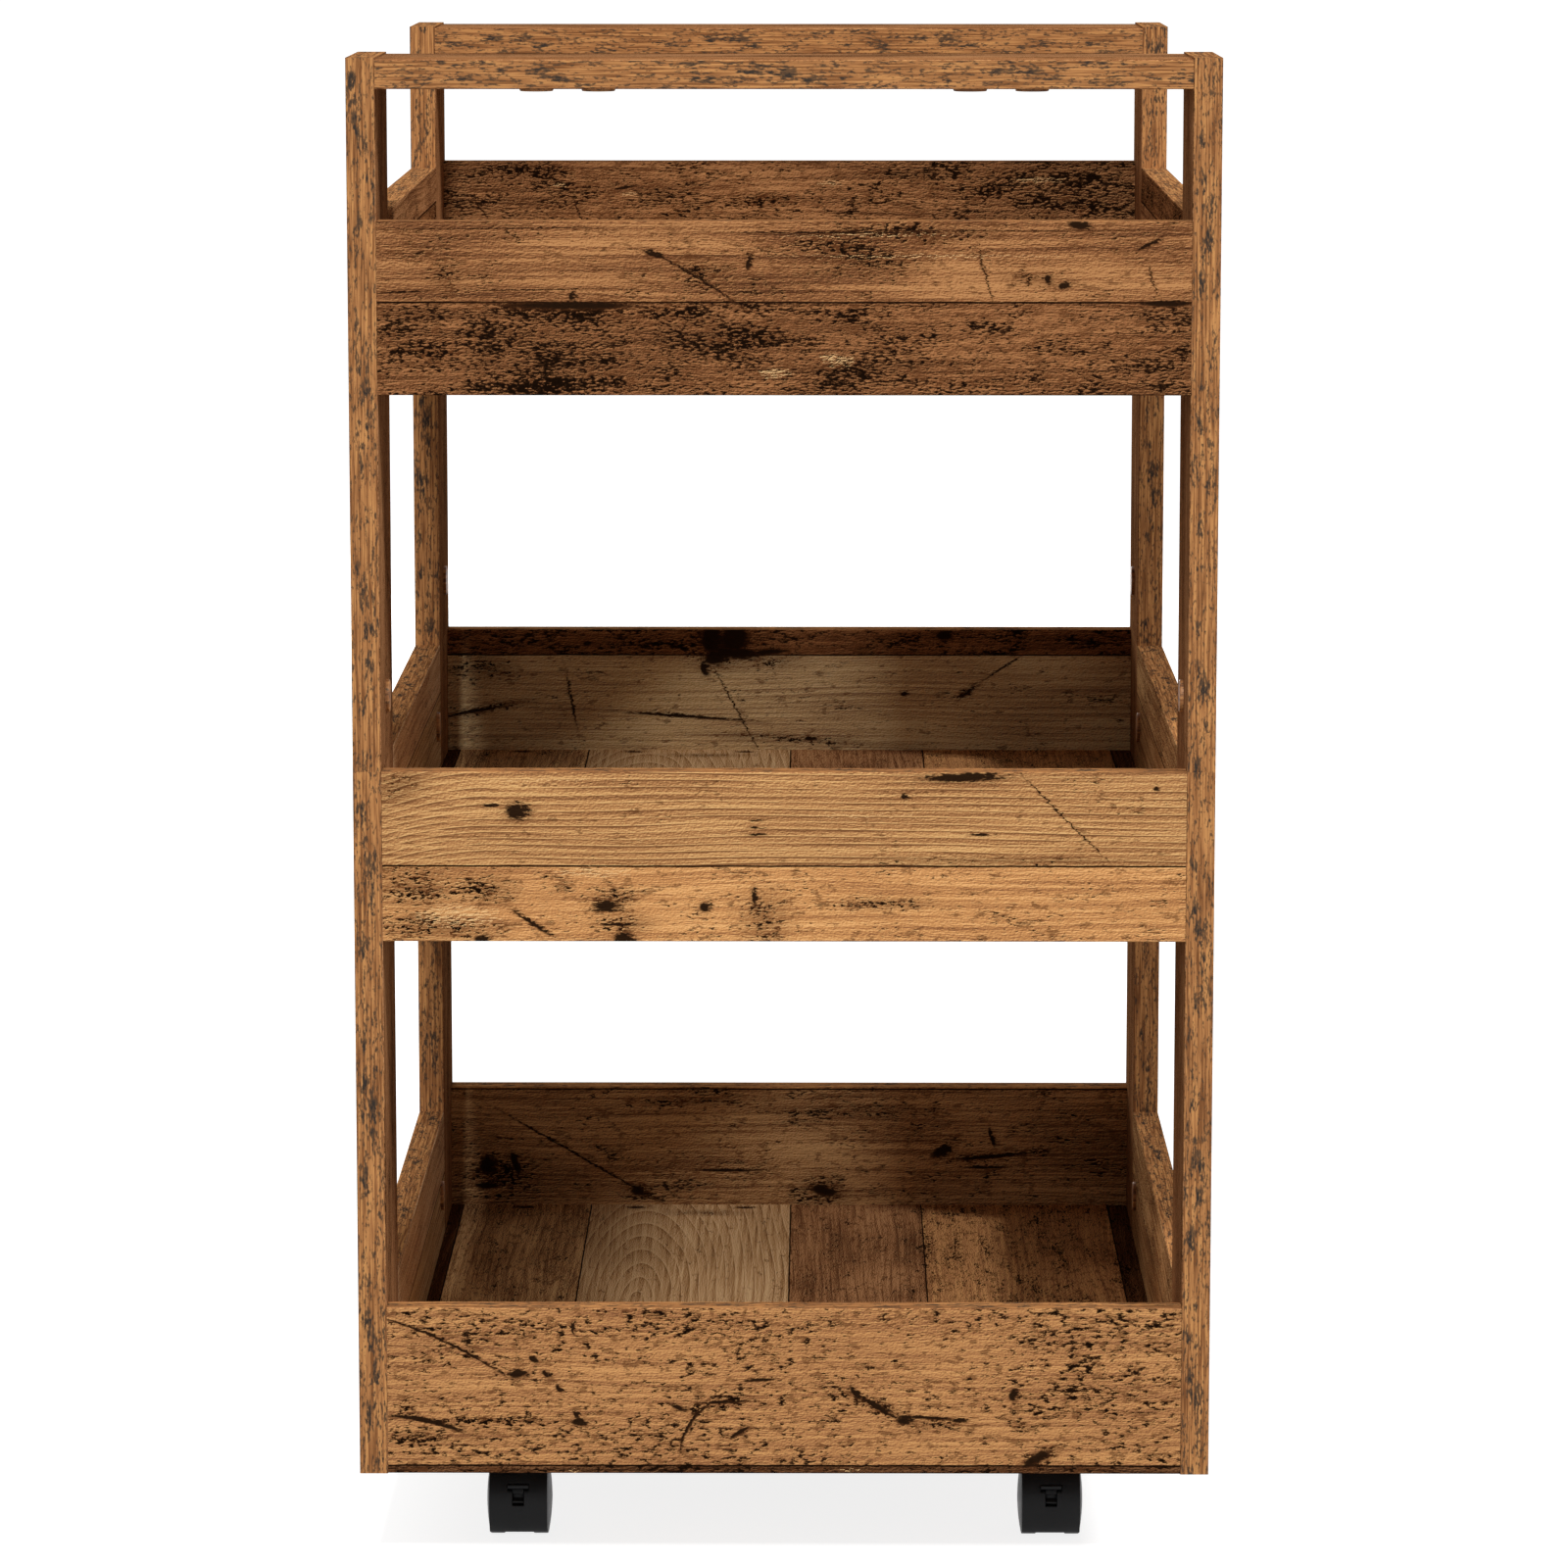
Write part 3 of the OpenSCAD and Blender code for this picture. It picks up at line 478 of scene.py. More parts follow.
def middle_of(node, axis):
    """Where the middle of a CAD node lies along an axis, in mm."""
    low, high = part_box(node)
    index = "xyz".index(axis)
    return (low[index] + high[index]) / 2 / MM


def give(material, *nodes):
    """Gives CAD pieces one material."""
    for node in nodes:
        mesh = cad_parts[node].data
        mesh.materials.clear()
        mesh.materials.append(material)


def dress_board(node, axes, planks, from_middle=False, **details):
    """Gives a CAD board its own print, counted across from the board's low edge or from its middle."""
    along, across, through = axes
    start = 0 if from_middle else low_of(node, across)
    origin = {along: 0, across: start, through: middle_of(node, through)}
    give(old_wood("old_wood_" + node, axes, [origin[a] for a in "xyz"], planks, **details), node)


# Axes of a board: along its grain, across it and through the board
ALONG_X = ("x", "z", "y")
ALONG_Y = ("y", "z", "x")
FLOOR = ("y", "x", "z")
UPRIGHT = ("z", "y", "x")
RAIL = ("x", "y", "z")

# Each board's marks were placed on the face that shows from the front
dress_board(
    "tray_top_front", ALONG_X, ("charred", "honey"), seams=(48,), face=-1, seed=1,
    dark=((-45, 61, 50, 1.1, -31.5, 1), (-67, 73, 12, 3, -20), (-18, 69, 9, 2.4, 75), (-15, 60, 8, 1),
          (24, 84, 110, 0.9), (-109, 51, 4, 5), (-110, 46.5, 60, 3.5), (-195, 53.5, 25, 1.1, 2),
          (152, 88, 12, 5, -10), (103.5, 63, 28, 1, -75), (136, 60, 4, 5), (144.6, 57, 7, 4, 20),
          (-150, 86, 130, 0.5, 0.6), (110, 85, 120, 0.5), (-130, 54.5, 70, 0.6, 1),
          (188, 78, 14, 2.2, 27), (190, 59, 15, 1, -73), (197, 47.5, 24, 3)),
    mottled=((70, 84, 80, 12), (50, 68, 50, 14), (128, 60, 30, 8), (-175, 61, 18, 18), (-110, 44, 60, 9),
             (-60, 43, 50, 8), (30, 75, 40, 20), (-184, 22, 50, 13, 2), (-127, 6, 34, 12),
             (-16, 30, 36, 14, 6), (37, 42, 27, 6, 20), (-88, 8, 24, 5), (-42, 64, 34, 14, -20)),
    dashes=(3, 1.1), light=((-120, 80, 200, 13), (-115, 55, 90, 9), (130, 58, 150, 14)),
    flecks=((76, 72.2, 152, 0.8), (42, 83, 90, 0.8, 0.5), (26, 19, 18, 6, -10), (-6, 12, 16, 5)))
dress_board(
    "tray_top_rear", ALONG_X, ("scorched",), face=-1, seed=2, dashes=(3.4, 1.1),
    dark=((-187, 60, 16, 0.9, -50), (-128, 58, 20, 1, -70), (-100, 74, 14, 1.6, 10)),
    mottled=((-160, 84, 60, 9), (-20, 66, 46, 10), (120, 72, 50, 10), (-60, 60, 30, 7),
             (180, 62, 40, 9)),
    flecks=((-140, 76, 9, 2), (-98, 70, 12, 2.5), (24, 77, 14, 3), (150, 79, 30, 2.5)))
dress_board(
    "tray_middle_front", ALONG_X, ("tan", "golden"), seams=(40,), face=-1, seed=3, fan=-150,
    rings=(-60, -160, 7, 1),
    dark=((-139, 69, 12.5, 9), (-153, 72, 8, 1.6), (-132, 10, 25, 2.4, -34), (-93, 16.5, 17, 1.4),
          (-93, 19, 13, 5), (-41, 18.6, 6.5, 5, 20), (-15.4, 24.4, 3, 9), (-83.6, 1.5, 11, 7),
          (-158, 1, 8, 5), (-86, 9, 21, 1.2), (94, 87, 42, 5, 2), (146, 66, 62, 0.9, -45),
          (103, 56.8, 11, 1.5), (63, 77, 4, 3.4), (194, 81, 2.6, 2), (-14, 64.3, 8, 0.9),
          (-14, 60.4, 8, 0.9), (-14, 56.8, 9, 1.1)),
    mottled=((-200, 82, 34, 18, 20), (-192, 28, 56, 24), (-156, 27, 36, 18), (-180, 7, 70, 16),
             (-83, 10, 34, 12), (-10, 12, 30, 34), (-88, 23, 26, 12), (110, 43, 170, 5),
             (52, 20, 60, 8)),
    flecks=((-120, 86, 60, 1), (40, 67, 70, 1), (-172, 14, 44, 12), (-100, 37, 40, 5)))
dress_board(
    "tray_middle_rear", ALONG_X, ("sand", "charred"), seams=(74,), face=-1, seed=4, behind=0.35,
    dark=((-47, 84, 13, 20, 4), (-34, 84, 15, 19, -5), (-44, 73, 17, 10, 20), (-31, 75, 24, 7, -8),
          (-12, 76, 20, 3, 5), (-52, 66, 5, 10, 10), (-33, 41, 58, 1, -62), (-134, 46, 33, 1.3, -79),
          (-65, 36, 76, 1.9, -4), (-195, 39, 36, 2, 11), (-124, 81, 5, 3), (95, 86, 9, 5),
          (131, 66, 26, 1.2, 33), (110, 51, 12, 1.8, 37), (71, 50, 4, 3), (13, 22, 8, 2.4)),
    mottled=((139, 82, 20, 16, 50), (0, 22, 120, 6, -3), (-36, 76, 56, 26), (-10, 70, 50, 12),
             (-185, 66, 40, 22), (-180, 42, 60, 7, 11), (110, 51, 22, 7, 37)))
dress_board(
    "tray_bottom_front", ALONG_X, ("dark", "amber"), seams=(4.3,), face=-1, seed=5,
    dark=((-178, 71, 68, 1.5, -26, 2.9), (-141, 54, 10, 4.5), (-189, 28.5, 40, 2.6, -13, 2),
          (-108, 28, 9, 4.5), (-111.6, 79, 2.2, 7), (-133, 62, 5, 3, -40), (-126, 54, 5, 3, -40),
          (-119, 46, 5, 3, -40), (-110, 32, 6, 3, -50), (-50, 27, 30, 1.6, 58, 3),
          (-33, 38.7, 28, 1.4, 2), (-56, 36, 9, 3, -25), (-13, 51, 16, 2, 4), (38, 44, 9, 3.6, -50),
          (50, 36, 24, 2.4, -32), (76, 30.5, 30, 1.6, -3), (93, 29, 8, 2.6), (134, 8.5, 16, 5, 30),
          (-24, 22, 11, 2.6, 30), (121.5, 43, 5, 6.5, -30), (63.6, 29, 8, 4.5)),
    mottled=((-150, 28.6, 75, 4.5), (-200, 36, 12, 5), (46, 38, 60, 9, -20), (80, 27, 40, 8, -3),
             (136, 9, 24, 8, 20), (124, 27, 20, 6, -20), (-190, 18, 50, 6), (-34, 38, 40, 6, 10)),
    flecks=((34, 2, 14, 1.6), (-112, 2, 2, 3)), dashes=(4.5, 2), patches=(9, 5))
dress_board(
    "tray_bottom_rear", ALONG_X, ("ash", "tan"), seams=(88.4,), face=-1, seed=6,
    dark=((-129, 45, 107, 1.5, -30), (-188, 40, 9.5, 10), (-188, 27, 13, 4), (-170, 41, 5, 14, 20),
          (-38, 37, 38, 2), (-94, 24, 9, 6), (22, 24, 16, 6, -10), (95, 49, 14, 7, 25),
          (126, 46, 45, 2.6, 5), (122, 39, 30, 1.8), (126, 58, 12, 3, -74)),
    mottled=((22, 24, 40, 20, -10), (-94, 24, 20, 12), (-180, 34, 40, 26), (-115, 50, 26, 7, -23),
             (158, 48, 16, 9), (126, 46, 60, 6, 5), (40, 74, 120, 8), (-60, 80, 90, 6)))

# The floors' planks from left to right, and their seams in mm from the middle
FLOOR_PLANKS = ("dark", "ash", "pale", "umber", "amber", "dark")
FLOOR_SEAMS = (-202.5, -123, 1, 82, 198)
# Three printed nail holes near the rear edge
NAILS = [(277, x, 6, 11.5) for x in (-164, -95, -27)]
for number, tray in enumerate(TRAYS):
    dress_board(f"tray_{tray}_floor", FLOOR, FLOOR_PLANKS, seams=FLOOR_SEAMS, from_middle=True,
                seed=7 + number, rings=(15, -88, 10, 1.5), dark=NAILS, mottled=((262, -50, 18, 60),))
SIDE_PLANKS = {"left": ("pale", "straw"), "right": ("olive", "ash")}
TOP_SIDE_PLANKS = {"left": ("charred", "umber"), "right": ("umber", "charred")}
for side_number, side in enumerate(SIDES):
    for number, tray in enumerate(TRAYS):
        planks = (TOP_SIDE_PLANKS if tray == "top" else SIDE_PLANKS)[side]
        dress_board(f"tray_{tray}_{side}", ALONG_Y, planks, seams=(52 + 9 * number,),
                    seed=10 + number + 3 * side_number)
    for end_number, end in enumerate(ENDS):
        for level_number, level in enumerate(("lower", "upper")):
            dress_board(f"post_{level}_{end}_{side}", UPRIGHT, ("umber",),
                        seed=16 + side_number + 2 * end_number + 4 * level_number)
for number, end in enumerate(ENDS):
    dress_board(f"rail_{end}", RAIL, ("russet", "umber"), seams=(38,), seed=24 + number)


def plain_material(name, code, rough_code, roughness, grain_mm, relief_mm, **fixed):
    """One material of a single stuff, with a slight drift in its colour and a fine surface grain."""
    material, tree = new_material(name)
    place = object_mm(tree)
    drift = blotches(tree, place, (14, 14, 14), 3, 0.55)
    grain = blotches(tree, place, (grain_mm,) * 3, 2, 0.5, 4.4)
    uneven = add(tree, "MapRange", drift, 0.4, 0.6)
    color = add(tree, "Mix", uneven, srgb(code), srgb(rough_code), data_type="RGBA")
    bump = add(tree, "Bump", Height=grain, Strength=0.5, Distance=relief_mm * MM)
    dull = add(tree, "MapRange", drift, 0.35, 0.65, roughness - 0.05, roughness + 0.05)
    shader = add(tree, "BsdfPrincipled", Base_Color=color, Roughness=dull, Normal=bump, **fixed)
    add(tree, "OutputMaterial", shader)
    return material


# Zinc-plated steel: cold bluish grey, bright, with a fine drawn grain
ZINC_PLATE = plain_material("zinc_plated_steel", "#B4B7BB", "#9FA2A6", 0.34, 0.5, 0.03, Metallic=1)
# Die-cast zinc of the cam locks: duller and warmer, with a cast skin
CAST_ZINC = plain_material("cast_zinc", "#9B9B9A", "#868685", 0.48, 0.8, 0.06, Metallic=1)
# Turned beech dowels: pale, dry, fluted wood
BEECH = plain_material("beech_dowel", "#D9B98C", "#C6A274", 0.7, 0.7, 0.08)
# Glass-filled nylon of the caster housings: near black and matt, with a spark-eroded texture
NYLON = plain_material("black_nylon", "#181819", "#1E1E1F", 0.55, 0.55, 0.05, Specular_IOR_Level=0.18)
# Moulded wheel plastic: the same black, smoother and a little lighter
WHEEL_PLASTIC = plain_material("black_wheel_plastic", "#1C1C1D", "#222223", 0.42, 0.7, 0.02,
                               Specular_IOR_Level=0.2)


give(ZINC_PLATE, "cam_bolts", "confirmat_screws", "caster_screws")
give(CAST_ZINC, "cam_housings")
give(BEECH, "dowels")
for corner in CORNERS:
    give(ZINC_PLATE, "plate_" + corner, "stem_" + corner, "axle_" + corner)


def cap_material():
    """Printed plastic of the cover caps: the banding's brown on a moulded disc."""
    material, tree = new_material("wood_tone_plastic")
    place = object_mm(tree)
    streak = blotches(tree, place, (30, 30, 2.2), 4, 0.6)
    speckle = blotches(tree, place, (4, 4, 1.2), 4, 0.62, 5.3)
    plain = band_brown(tree, streak)
    flecks = add(tree, "MapRange", speckle, 0.57, 0.6, 0, 0.8)
    color = add(tree, "Mix", flecks, plain, srgb(BAND_FLECK), data_type="RGBA")
    bump = add(tree, "Bump", Height=streak, Strength=0.3, Distance=0.1 * MM)
    shader = add(tree, "BsdfPrincipled", Base_Color=color, Roughness=0.5, Specular_IOR_Level=0.3,
                 Normal=bump)
    add(tree, "OutputMaterial", shader)
    return material


CAP_PLASTIC = cap_material()
give(CAP_PLASTIC, "cover_caps", "confirmat_caps")


# Caster pieces. Each is built about its axle in mm: x runs across, y ahead and z up. The hood starts and
# ends at angles in degrees, up from straight ahead
WHEEL_R = 20
TREAD_W = 8
DOME_H = 1.9
DOME_R = 19.5
WHEEL_GAP = 15.4
WEB_W = 13.6
BORE_R = 2.6
HUB_R = 5
RIM_IN_R = 17
RIBS = 6
HOOD_R = 22.3
HOOD_T = 1.4
HOOD_W = 31.4
HOOD_START = -45.9
HOOD_END = 150.4
# Height of the web's flat underside, and how far the swivel stands behind the axle
FLAT_LOW = -16
SWIVEL_BACK = 15
LEVER_W = 5.8
SLOT_W = 6.3
FOOT_W = 11
FOOT_SLOT_W = 11.5
# Heights of the lever's opening: its foot, where it widens for the foot pad, and its top
SLOT_UP = (0.4, 8, 11.95)
# The hood is bent in this many steps to each of those heights, and from there to its end
HOOD_STEPS = (13, 9, 4, 38)
# How far ahead of the axle the opening reaches back, for the arm and for the pad
ARM_SLOT_Y = 7.5
PAD_SLOT_Y = 16.82
# Middles of the lever's pivot and of its brake bar, ahead of the axle and above it
PIVOT = (11.49, 3.01)
SHOE = (11.49, 9.41)
# Edges that turn by less than this are shaded smooth
SMOOTH_BELOW = math.radians(34)


def soften(bm, width, over=40):
    """Rounds the edges sharper than an angle in degrees."""
    bmesh.ops.remove_doubles(bm, verts=bm.verts, dist=0.001)
    bmesh.ops.recalc_face_normals(bm, faces=bm.faces)
    sharp = [e for e in bm.edges if len(e.link_faces) == 2 and e.calc_face_angle() > math.radians(over)]
    bmesh.ops.bevel(bm, geom=sharp, offset=width, offset_type="OFFSET", segments=2, profile=0.5,
                    affect="EDGES", material=-1, clamp_overlap=True)


def join(whole, part, matrix=None):
    """Adds a separate body to a piece, moved by a matrix, and frees the body."""
    if matrix:
        bmesh.ops.transform(part, matrix=matrix, verts=part.verts)
    mesh = bpy.data.meshes.new("part")
    part.to_mesh(mesh)
    part.free()
    whole.from_mesh(mesh)
    bpy.data.meshes.remove(mesh)


def turned(profile, steps=64):
    """A body turned about the x axis, from (radius, x) points."""
    bm = bmesh.new()
    verts = [bm.verts.new((x, radius, 0)) for radius, x in profile]
    pairs = zip(verts, verts[1:] + verts[:1])
    edges = [bm.edges.new(pair) for pair in pairs if pair[0].co.y or pair[1].co.y]
    bmesh.ops.spin(bm, geom=verts + edges, cent=(0, 0, 0), axis=(1, 0, 0), angle=2 * math.pi, steps=steps,
                   use_merge=True)
    bmesh.ops.remove_doubles(bm, verts=bm.verts, dist=0.001)
    bmesh.ops.recalc_face_normals(bm, faces=bm.faces)
    return bm


def barrel(radius, length, chamfer=0.25, steps=32):
    """A pin across the caster with chamfered ends."""
    half = length / 2
    return turned([(0, -half), (radius - chamfer, -half), (radius, chamfer - half),
                   (radius, half - chamfer), (radius - chamfer, half), (0, half)], steps)


def arc(radius, first, last, steps):
    """(y, z) points round the axle, with angles in degrees from straight ahead."""
    turns = [math.radians(first + (last - first) * i / steps) for i in range(steps + 1)]
    return [(radius * math.cos(t), radius * math.sin(t)) for t in turns]


def slab(x0, x1, outline, *holes):
    """A flat plate from x0 to x1, with an outline and holes of (y, z) points."""
    bm = bmesh.new()
    for loop in (outline, *holes):
        verts = [bm.verts.new((x0, *point)) for point in loop]
        for pair in zip(verts, verts[1:] + verts[:1]):
            bm.edges.new(pair)
    bmesh.ops.triangle_fill(bm, edges=bm.edges[:], use_beauty=True)
    sheet = bm.faces[:] + bm.edges[:]
    raised = bmesh.ops.extrude_face_region(bm, geom=sheet, use_keep_orig=True)["geom"]
    far = [part for part in raised if isinstance(part, bmesh.types.BMVert)]
    bmesh.ops.translate(bm, vec=(x1 - x0, 0, 0), verts=far)
    return bm


def to_caster(bm, corner):
    """Moves a piece from its axle to a corner of the cart. The rear casters mirror the front ones."""
    low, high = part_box("axle_" + corner)
    ahead = MM if corner.startswith("rear") else -MM
    place = Matrix.Translation((Vector(low) + Vector(high)) / 2) @ Matrix.Diagonal((MM, ahead, MM, 1))
    bmesh.ops.transform(bm, matrix=place, verts=bm.verts)


def finished(bm, name, body, material, *nodes):
    """Makes the object, smooth but for its sharp edges, on its body and in the place of its CAD nodes."""
    bmesh.ops.recalc_face_normals(bm, faces=bm.faces)
    for face in bm.faces:
        face.smooth = True
    for edge in bm.edges:
        edge.smooth = len(edge.link_faces) == 2 and edge.calc_face_angle() < SMOOTH_BELOW
    piece = new_piece(bm, name, material)
    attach(piece, body)
    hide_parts(*nodes)


def dome(radius):
    """A point of the wheel's dome."""
    return (radius, TREAD_W + DOME_H * (1 - (radius / DOME_R) ** 2))


def make_wheel(corner, place):
    """Hollow moulded wheel: ribs inside, and outside a tread ring, a groove and a dome with a dimple."""
    profile = [(BORE_R, 0), (HUB_R - 0.3, 0), (HUB_R, 0.3), (HUB_R, 6), (RIM_IN_R, 6), (RIM_IN_R, 0.3),
               (RIM_IN_R + 0.3, 0), (19.3, 0), (19.7, 0.1), (19.92, 0.35), (WHEEL_R, 0.7), (WHEEL_R, 7.2),
               (19.92, 7.6), (19.7, 7.9), (19.4, 8.0), dome(18.8), dome(18.5), (18.35, 7.95),
               (18.15, 7.95)]
    profile += [dome(18 - 1.8 * i) for i in range(8)]
    profile += [dome(3.2), dome(2.9), (2.6, 9.35), (2, 9.22), (1, 9.2), (0, 9.2), (0, 6.9),
                (BORE_R, 6.9)]
    bm = turned(profile, 96)
    for number in range(RIBS):
        rib = Matrix.Rotation(2 * math.pi * number / RIBS, 4, "X")
        rib = rib @ Matrix.Translation((4.6, 0, (HUB_R + RIM_IN_R) / 2))
        rib = rib @ Matrix.Diagonal((3.2, 1.1, 12.4, 1))
        bmesh.ops.create_cube(bm, size=1, matrix=rib)
    side = -1 if corner.endswith("left") else 1
    across = side if place == "outer" else -side
    bmesh.ops.translate(bm, vec=(WHEEL_GAP / 2, 0, 0), verts=bm.verts)
    bmesh.ops.scale(bm, vec=(across, 1, 1), verts=bm.verts)
    to_caster(bm, corner)
    node = f"wheel_{corner}_{place}"
    finished(bm, "moulded_" + node, node + "_body", WHEEL_PLASTIC, node)


def up_the_hood(up, radius=HOOD_R):
    """Angle, in degrees from straight ahead, of the point at a height above the axle."""
    return math.degrees(math.asin(up / radius))


def hood(braked):
    """Curved sheet over both wheels, with a T-shaped opening for the lever on a braked caster."""
    bm = bmesh.new()
    start = arc(HOOD_R, HOOD_START, HOOD_START, 1)[0]
    columns = [half / 2 for half in (-HOOD_W, -FOOT_SLOT_W, -SLOT_W, SLOT_W, FOOT_SLOT_W, HOOD_W)]
    row = [bm.verts.new((x, *start)) for x in columns]
    last = row + [bm.edges.new(pair) for pair in zip(row, row[1:])]
    stops = [HOOD_START, *[up_the_hood(up) for up in SLOT_UP], HOOD_END]
    for first, then, steps in zip(stops, stops[1:], HOOD_STEPS):
        angle = math.radians(then - first)
        spun = bmesh.ops.spin(bm, geom=last, cent=(0, 0, 0), axis=(1, 0, 0), angle=angle, steps=steps)
        last = spun["geom_last"]
    opening = []
    for face in bm.faces if braked else ():
        x, y, z = face.calc_center_median()
        width = FOOT_SLOT_W if z > SLOT_UP[1] else SLOT_W
        if y > 0 and abs(x) < width / 2 and SLOT_UP[0] < z < SLOT_UP[2]:
            opening.append(face)
    bmesh.ops.delete(bm, geom=opening, context="FACES")
    bmesh.ops.recalc_face_normals(bm, faces=bm.faces)
    bmesh.ops.solidify(bm, geom=bm.faces[:], thickness=HOOD_T)
    soften(bm, 0.35)
    return bm


def make_housing(corner):
    """Hood, web between the wheels with its hub, and the socket that turns on the stem."""
    braked = corner.startswith("front")
    bm = hood(braked)
    # The web ends inside the hood's wall
    web_r = HOOD_R - HOOD_T + 0.3
    flat = up_the_hood(FLAT_LOW, web_r)
    half = WEB_W / 2
    if braked:
        low, pad_low, high = [up_the_hood(up, web_r) for up in SLOT_UP]
        rest = arc(web_r, high, 180 - flat, 60)
        core = arc(web_r, flat, low, 12) + [(ARM_SLOT_Y, up) for up in SLOT_UP[::2]] + rest
        cheek = arc(web_r, flat, pad_low, 20) + [(PAD_SLOT_Y, up) for up in SLOT_UP[1:]] + rest
        around = ((-1.55, -1.55), (2.8, -1.55), (2.8, 1.55), (-1.55, 1.55))
        shoe = [(SHOE[0] + y, SHOE[1] + z) for y, z in around]
        pin = [(PIVOT[0] + y, PIVOT[1] + z) for y, z in arc(1.3, 0, 345, 23)]
        join(bm, slab(-SLOT_W / 2, SLOT_W / 2, core))
        join(bm, slab(-half, -SLOT_W / 2, cheek, shoe, pin))
        join(bm, slab(SLOT_W / 2, half, cheek, shoe, pin))
        # Moulding line under the slot
        join(bm, barrel(0.2, LEVER_W, 0.1, 10), Matrix.Translation((0, 22.05, -2.4)))
    else:
        join(bm, slab(-half, half, arc(web_r, flat, 180 - flat, 80)))
    socket = turned([(4.1, -3.4), (4.1, 30), (4.4, 30.3), (6.4, 30.3), (6.8, 29.9), (6.8, -6.4), (6.2, -7),
                     (0, -7), (0, -3.4)], 48)
    upright = Matrix.Translation((0, -SWIVEL_BACK, 0)) @ Matrix.Rotation(math.radians(-90), 4, "Y")
    join(bm, socket, upright)
    for side in (-1, 1):
        hub = turned([(BORE_R, half), (HUB_R, half), (HUB_R, 7.3), (HUB_R - 0.2, 7.5), (BORE_R, 7.5)], 48)
        join(bm, hub, Matrix.Diagonal((side, 1, 1, 1)))
    to_caster(bm, corner)
    finished(bm, "moulded_housing_" + corner, "caster_" + corner, NYLON, "housing_" + corner)


def make_lever(side):
    """Brake lever: a foot pad over a pocketed arm that fills the slot, its pivot and its brake bar."""
    half = LEVER_W / 2
    bm = slab(-half, half, [
        (20.1, 9.3), (21, 7.1), (19.2, 6.4), (18.9, 4.3), (21.6, 3.2), (21.95, 2.8), (21.95, 2.2),
        (21.5, 1.9), (16.5, 1.4), (12.4, 1.1), (11.4, 0.9), (9.9, 1.7), (9.4, 3), (9.9, 4.5), (10.2, 9.4),
        (11.5, 10.7), (12.8, 9.9), (13.6, 7.2), (17, 9.6), (18.2, 10.2)])
    pad = [(18.22, 9.5), (20.6, 9.5), (21.22, 10), (21.22, 11.2), (20.8, 11.7), (18.22, 11.7)]
    join(bm, slab(-FOOT_W / 2, FOOT_W / 2, pad))
    soften(bm, 0.22, 30)
    for z in (9.98, 10.6, 11.22):
        join(bm, barrel(0.1, FOOT_W - 1.4, 0.05, 8), Matrix.Translation((0, 21.12, z)))
    join(bm, barrel(1.2, 11.2), Matrix.Translation((0, *PIVOT)))
    join(bm, barrel(1.3, 19), Matrix.Translation((0, *SHOE)))
    corner = "front_" + side
    to_caster(bm, corner)
    finished(bm, "moulded_brake_lever_" + corner, "brake_" + corner, NYLON, "brake_lever_" + corner)


for corner in CORNERS:
    make_housing(corner)
    for place in ("outer", "inner"):
        make_wheel(corner, place)
for side in SIDES:
    make_lever(side)


# Studio: white floor and surroundings for the camera, an even dome and soft lamps
DOME_LEVEL = 0.3
MIDDLE = mm(0, 0, 400)


def seen_rays(tree):
    """1 for the rays that show the background: straight from the camera, mirrored or through glass."""
    rays = add(tree, "LightPath").node.outputs
    seen = add(tree, "Math", rays["Is Camera Ray"], rays["Is Glossy Ray"], operation="MAXIMUM")
    return add(tree, "Math", seen, rays["Is Transmission Ray"], operation="MAXIMUM")


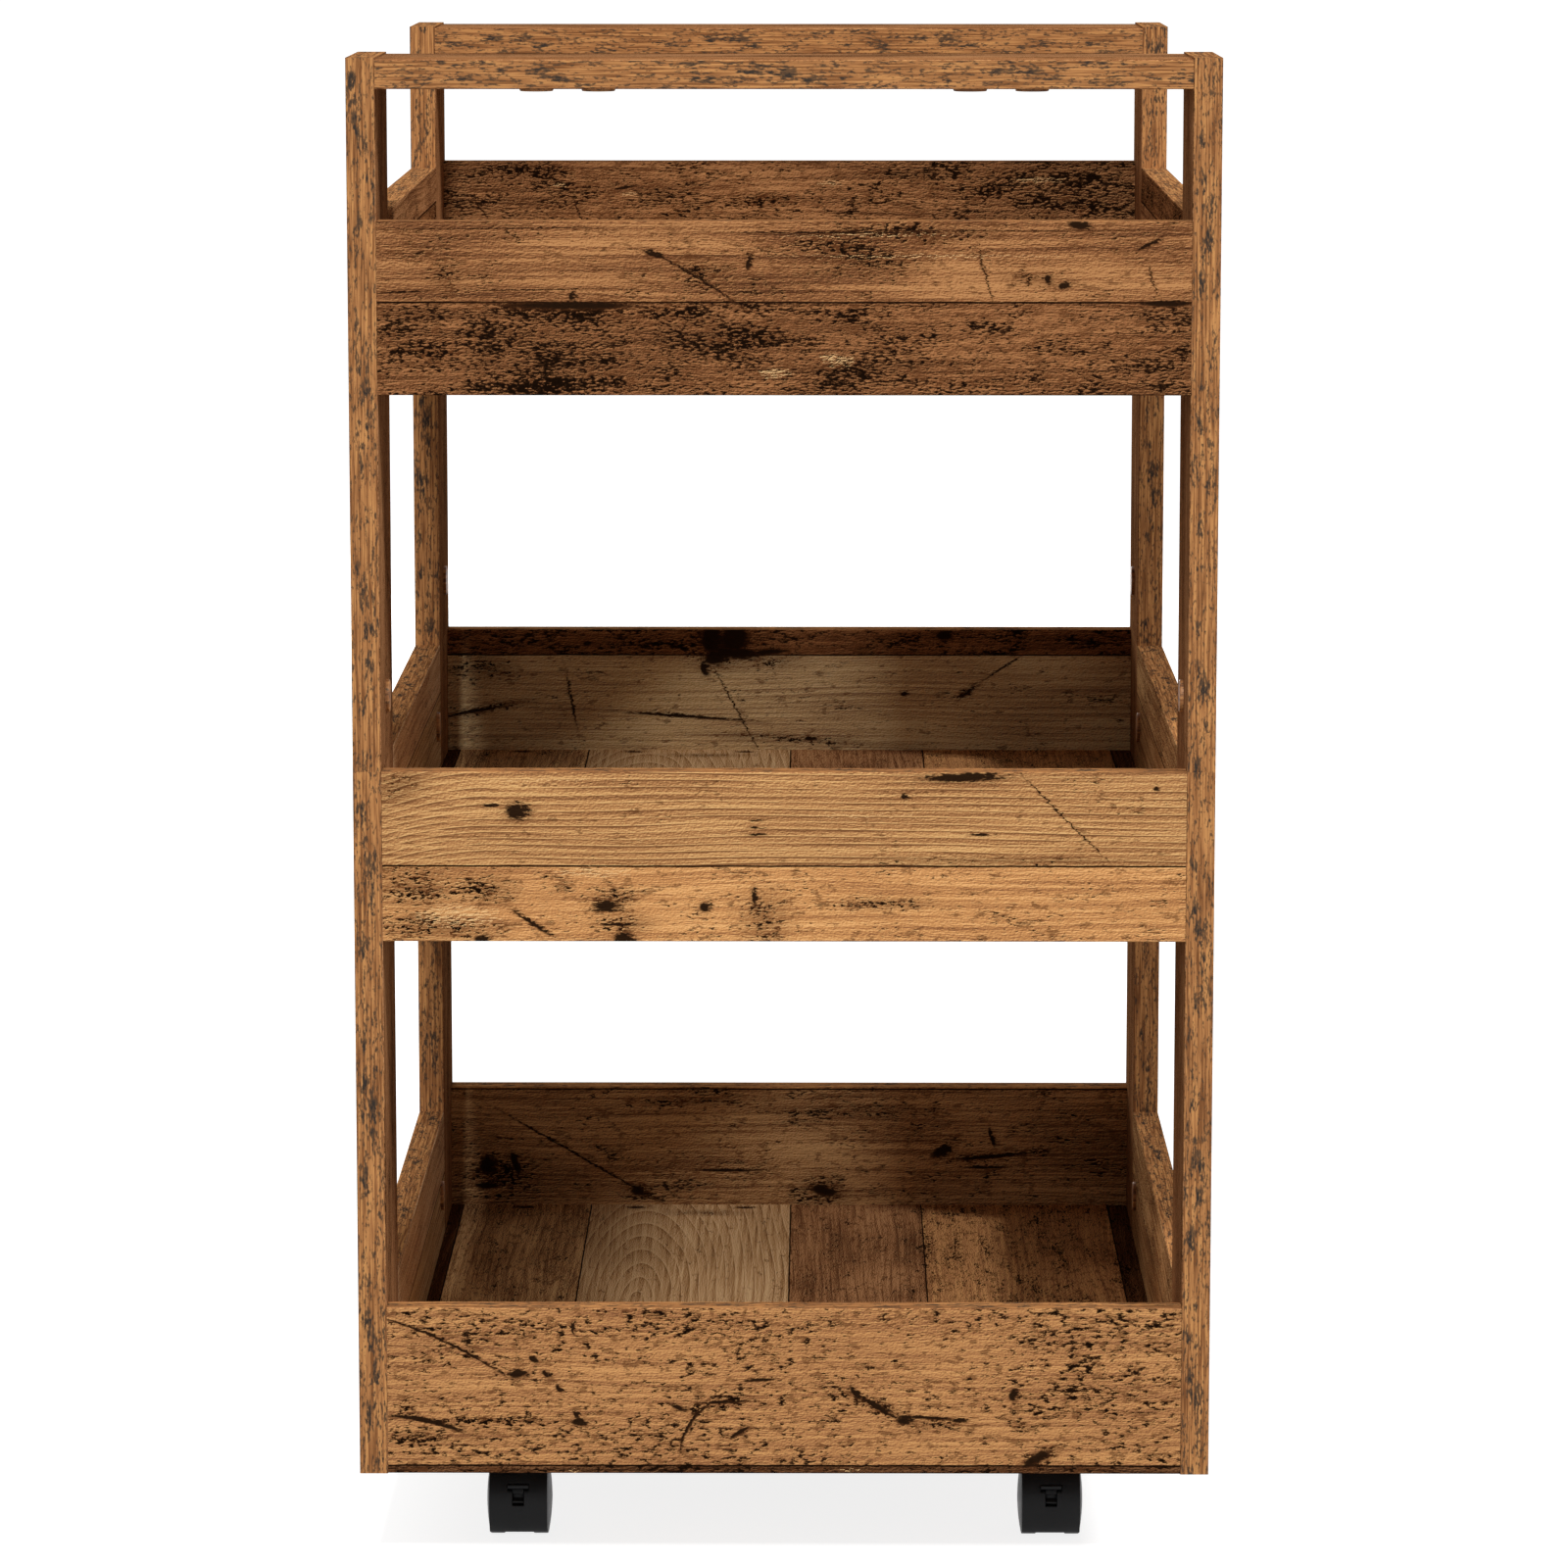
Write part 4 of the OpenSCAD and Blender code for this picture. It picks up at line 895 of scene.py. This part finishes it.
def make_floor():
    """Pale floor that looks white, and keeps the shadow near the cart."""
    material, tree = new_material("studio_floor")
    away = add(tree, "VectorMath", add(tree, "TexCoord").node.outputs["Object"], operation="LENGTH")
    white = add(tree, "MapRange", away.node.outputs["Value"], 0.6, 3.5, 0.84, 0.98)
    glow = add(tree, "Math", seen_rays(tree), white, operation="MULTIPLY")
    glow = add(tree, "Emission", (1, 1, 1, 1), glow)
    add(tree, "OutputMaterial", add(tree, "AddShader", add(tree, "BsdfDiffuse", srgb("#B0B0B0")), glow))
    bm = bmesh.new()
    bmesh.ops.create_grid(bm, x_segments=1, y_segments=1, size=60)
    floor = new_piece(bm, "studio_floor", material)


def make_world():
    """White surroundings for the camera, and an even dome of light on the cart."""
    world = bpy.data.worlds.new("studio")
    bpy.context.scene.world = world
    world.use_nodes = True
    tree = world.node_tree
    tree.nodes.clear()
    strength = add(tree, "Mix", seen_rays(tree), DOME_LEVEL, 1.0, data_type="FLOAT")
    add(tree, "OutputWorld", add(tree, "Background", (1, 1, 1, 1), strength))


def area_lamp(name, at, size, level):
    """Square lamp that looks at the cart.

    size is in metres. level is how bright it makes a white face that is turned to it, 1 for full white.
    """
    away = at - MIDDLE
    data = bpy.data.lights.new(name, "AREA")
    data.size = size
    data.energy = level * (math.pi * away.length) ** 2
    lamp = in_scene(name, data)
    lamp.location = at
    lamp.rotation_euler = away.to_track_quat("Z", "Y").to_euler()


make_floor()
make_world()
area_lamp("key", mm(-750, -8250, 8400), 1.25, 0.72)
area_lamp("right", mm(5920, -2360, 5240), 0.9, 0.52)
area_lamp("back", mm(-1100, 4200, 1300), 1.5, 0.55)

# The photograph was taken from 3.2 m ahead of the cart's front, a little to the right and above its top.
# In metres
CAMERA_AT = Vector((0.0172, -3.501, 0.915))
CAMERA_TARGET = Vector((0, -0.3, 0.4237))
camera_data = bpy.data.cameras.new("camera")
camera_data.lens = 142.6
camera_data.sensor_width = 36
camera = in_scene("camera", camera_data)
camera.location = CAMERA_AT
camera.rotation_euler = (CAMERA_TARGET - CAMERA_AT).to_track_quat("-Z", "Y").to_euler()
bpy.context.scene.camera = camera
bpy.context.scene.view_settings.view_transform = "Standard"
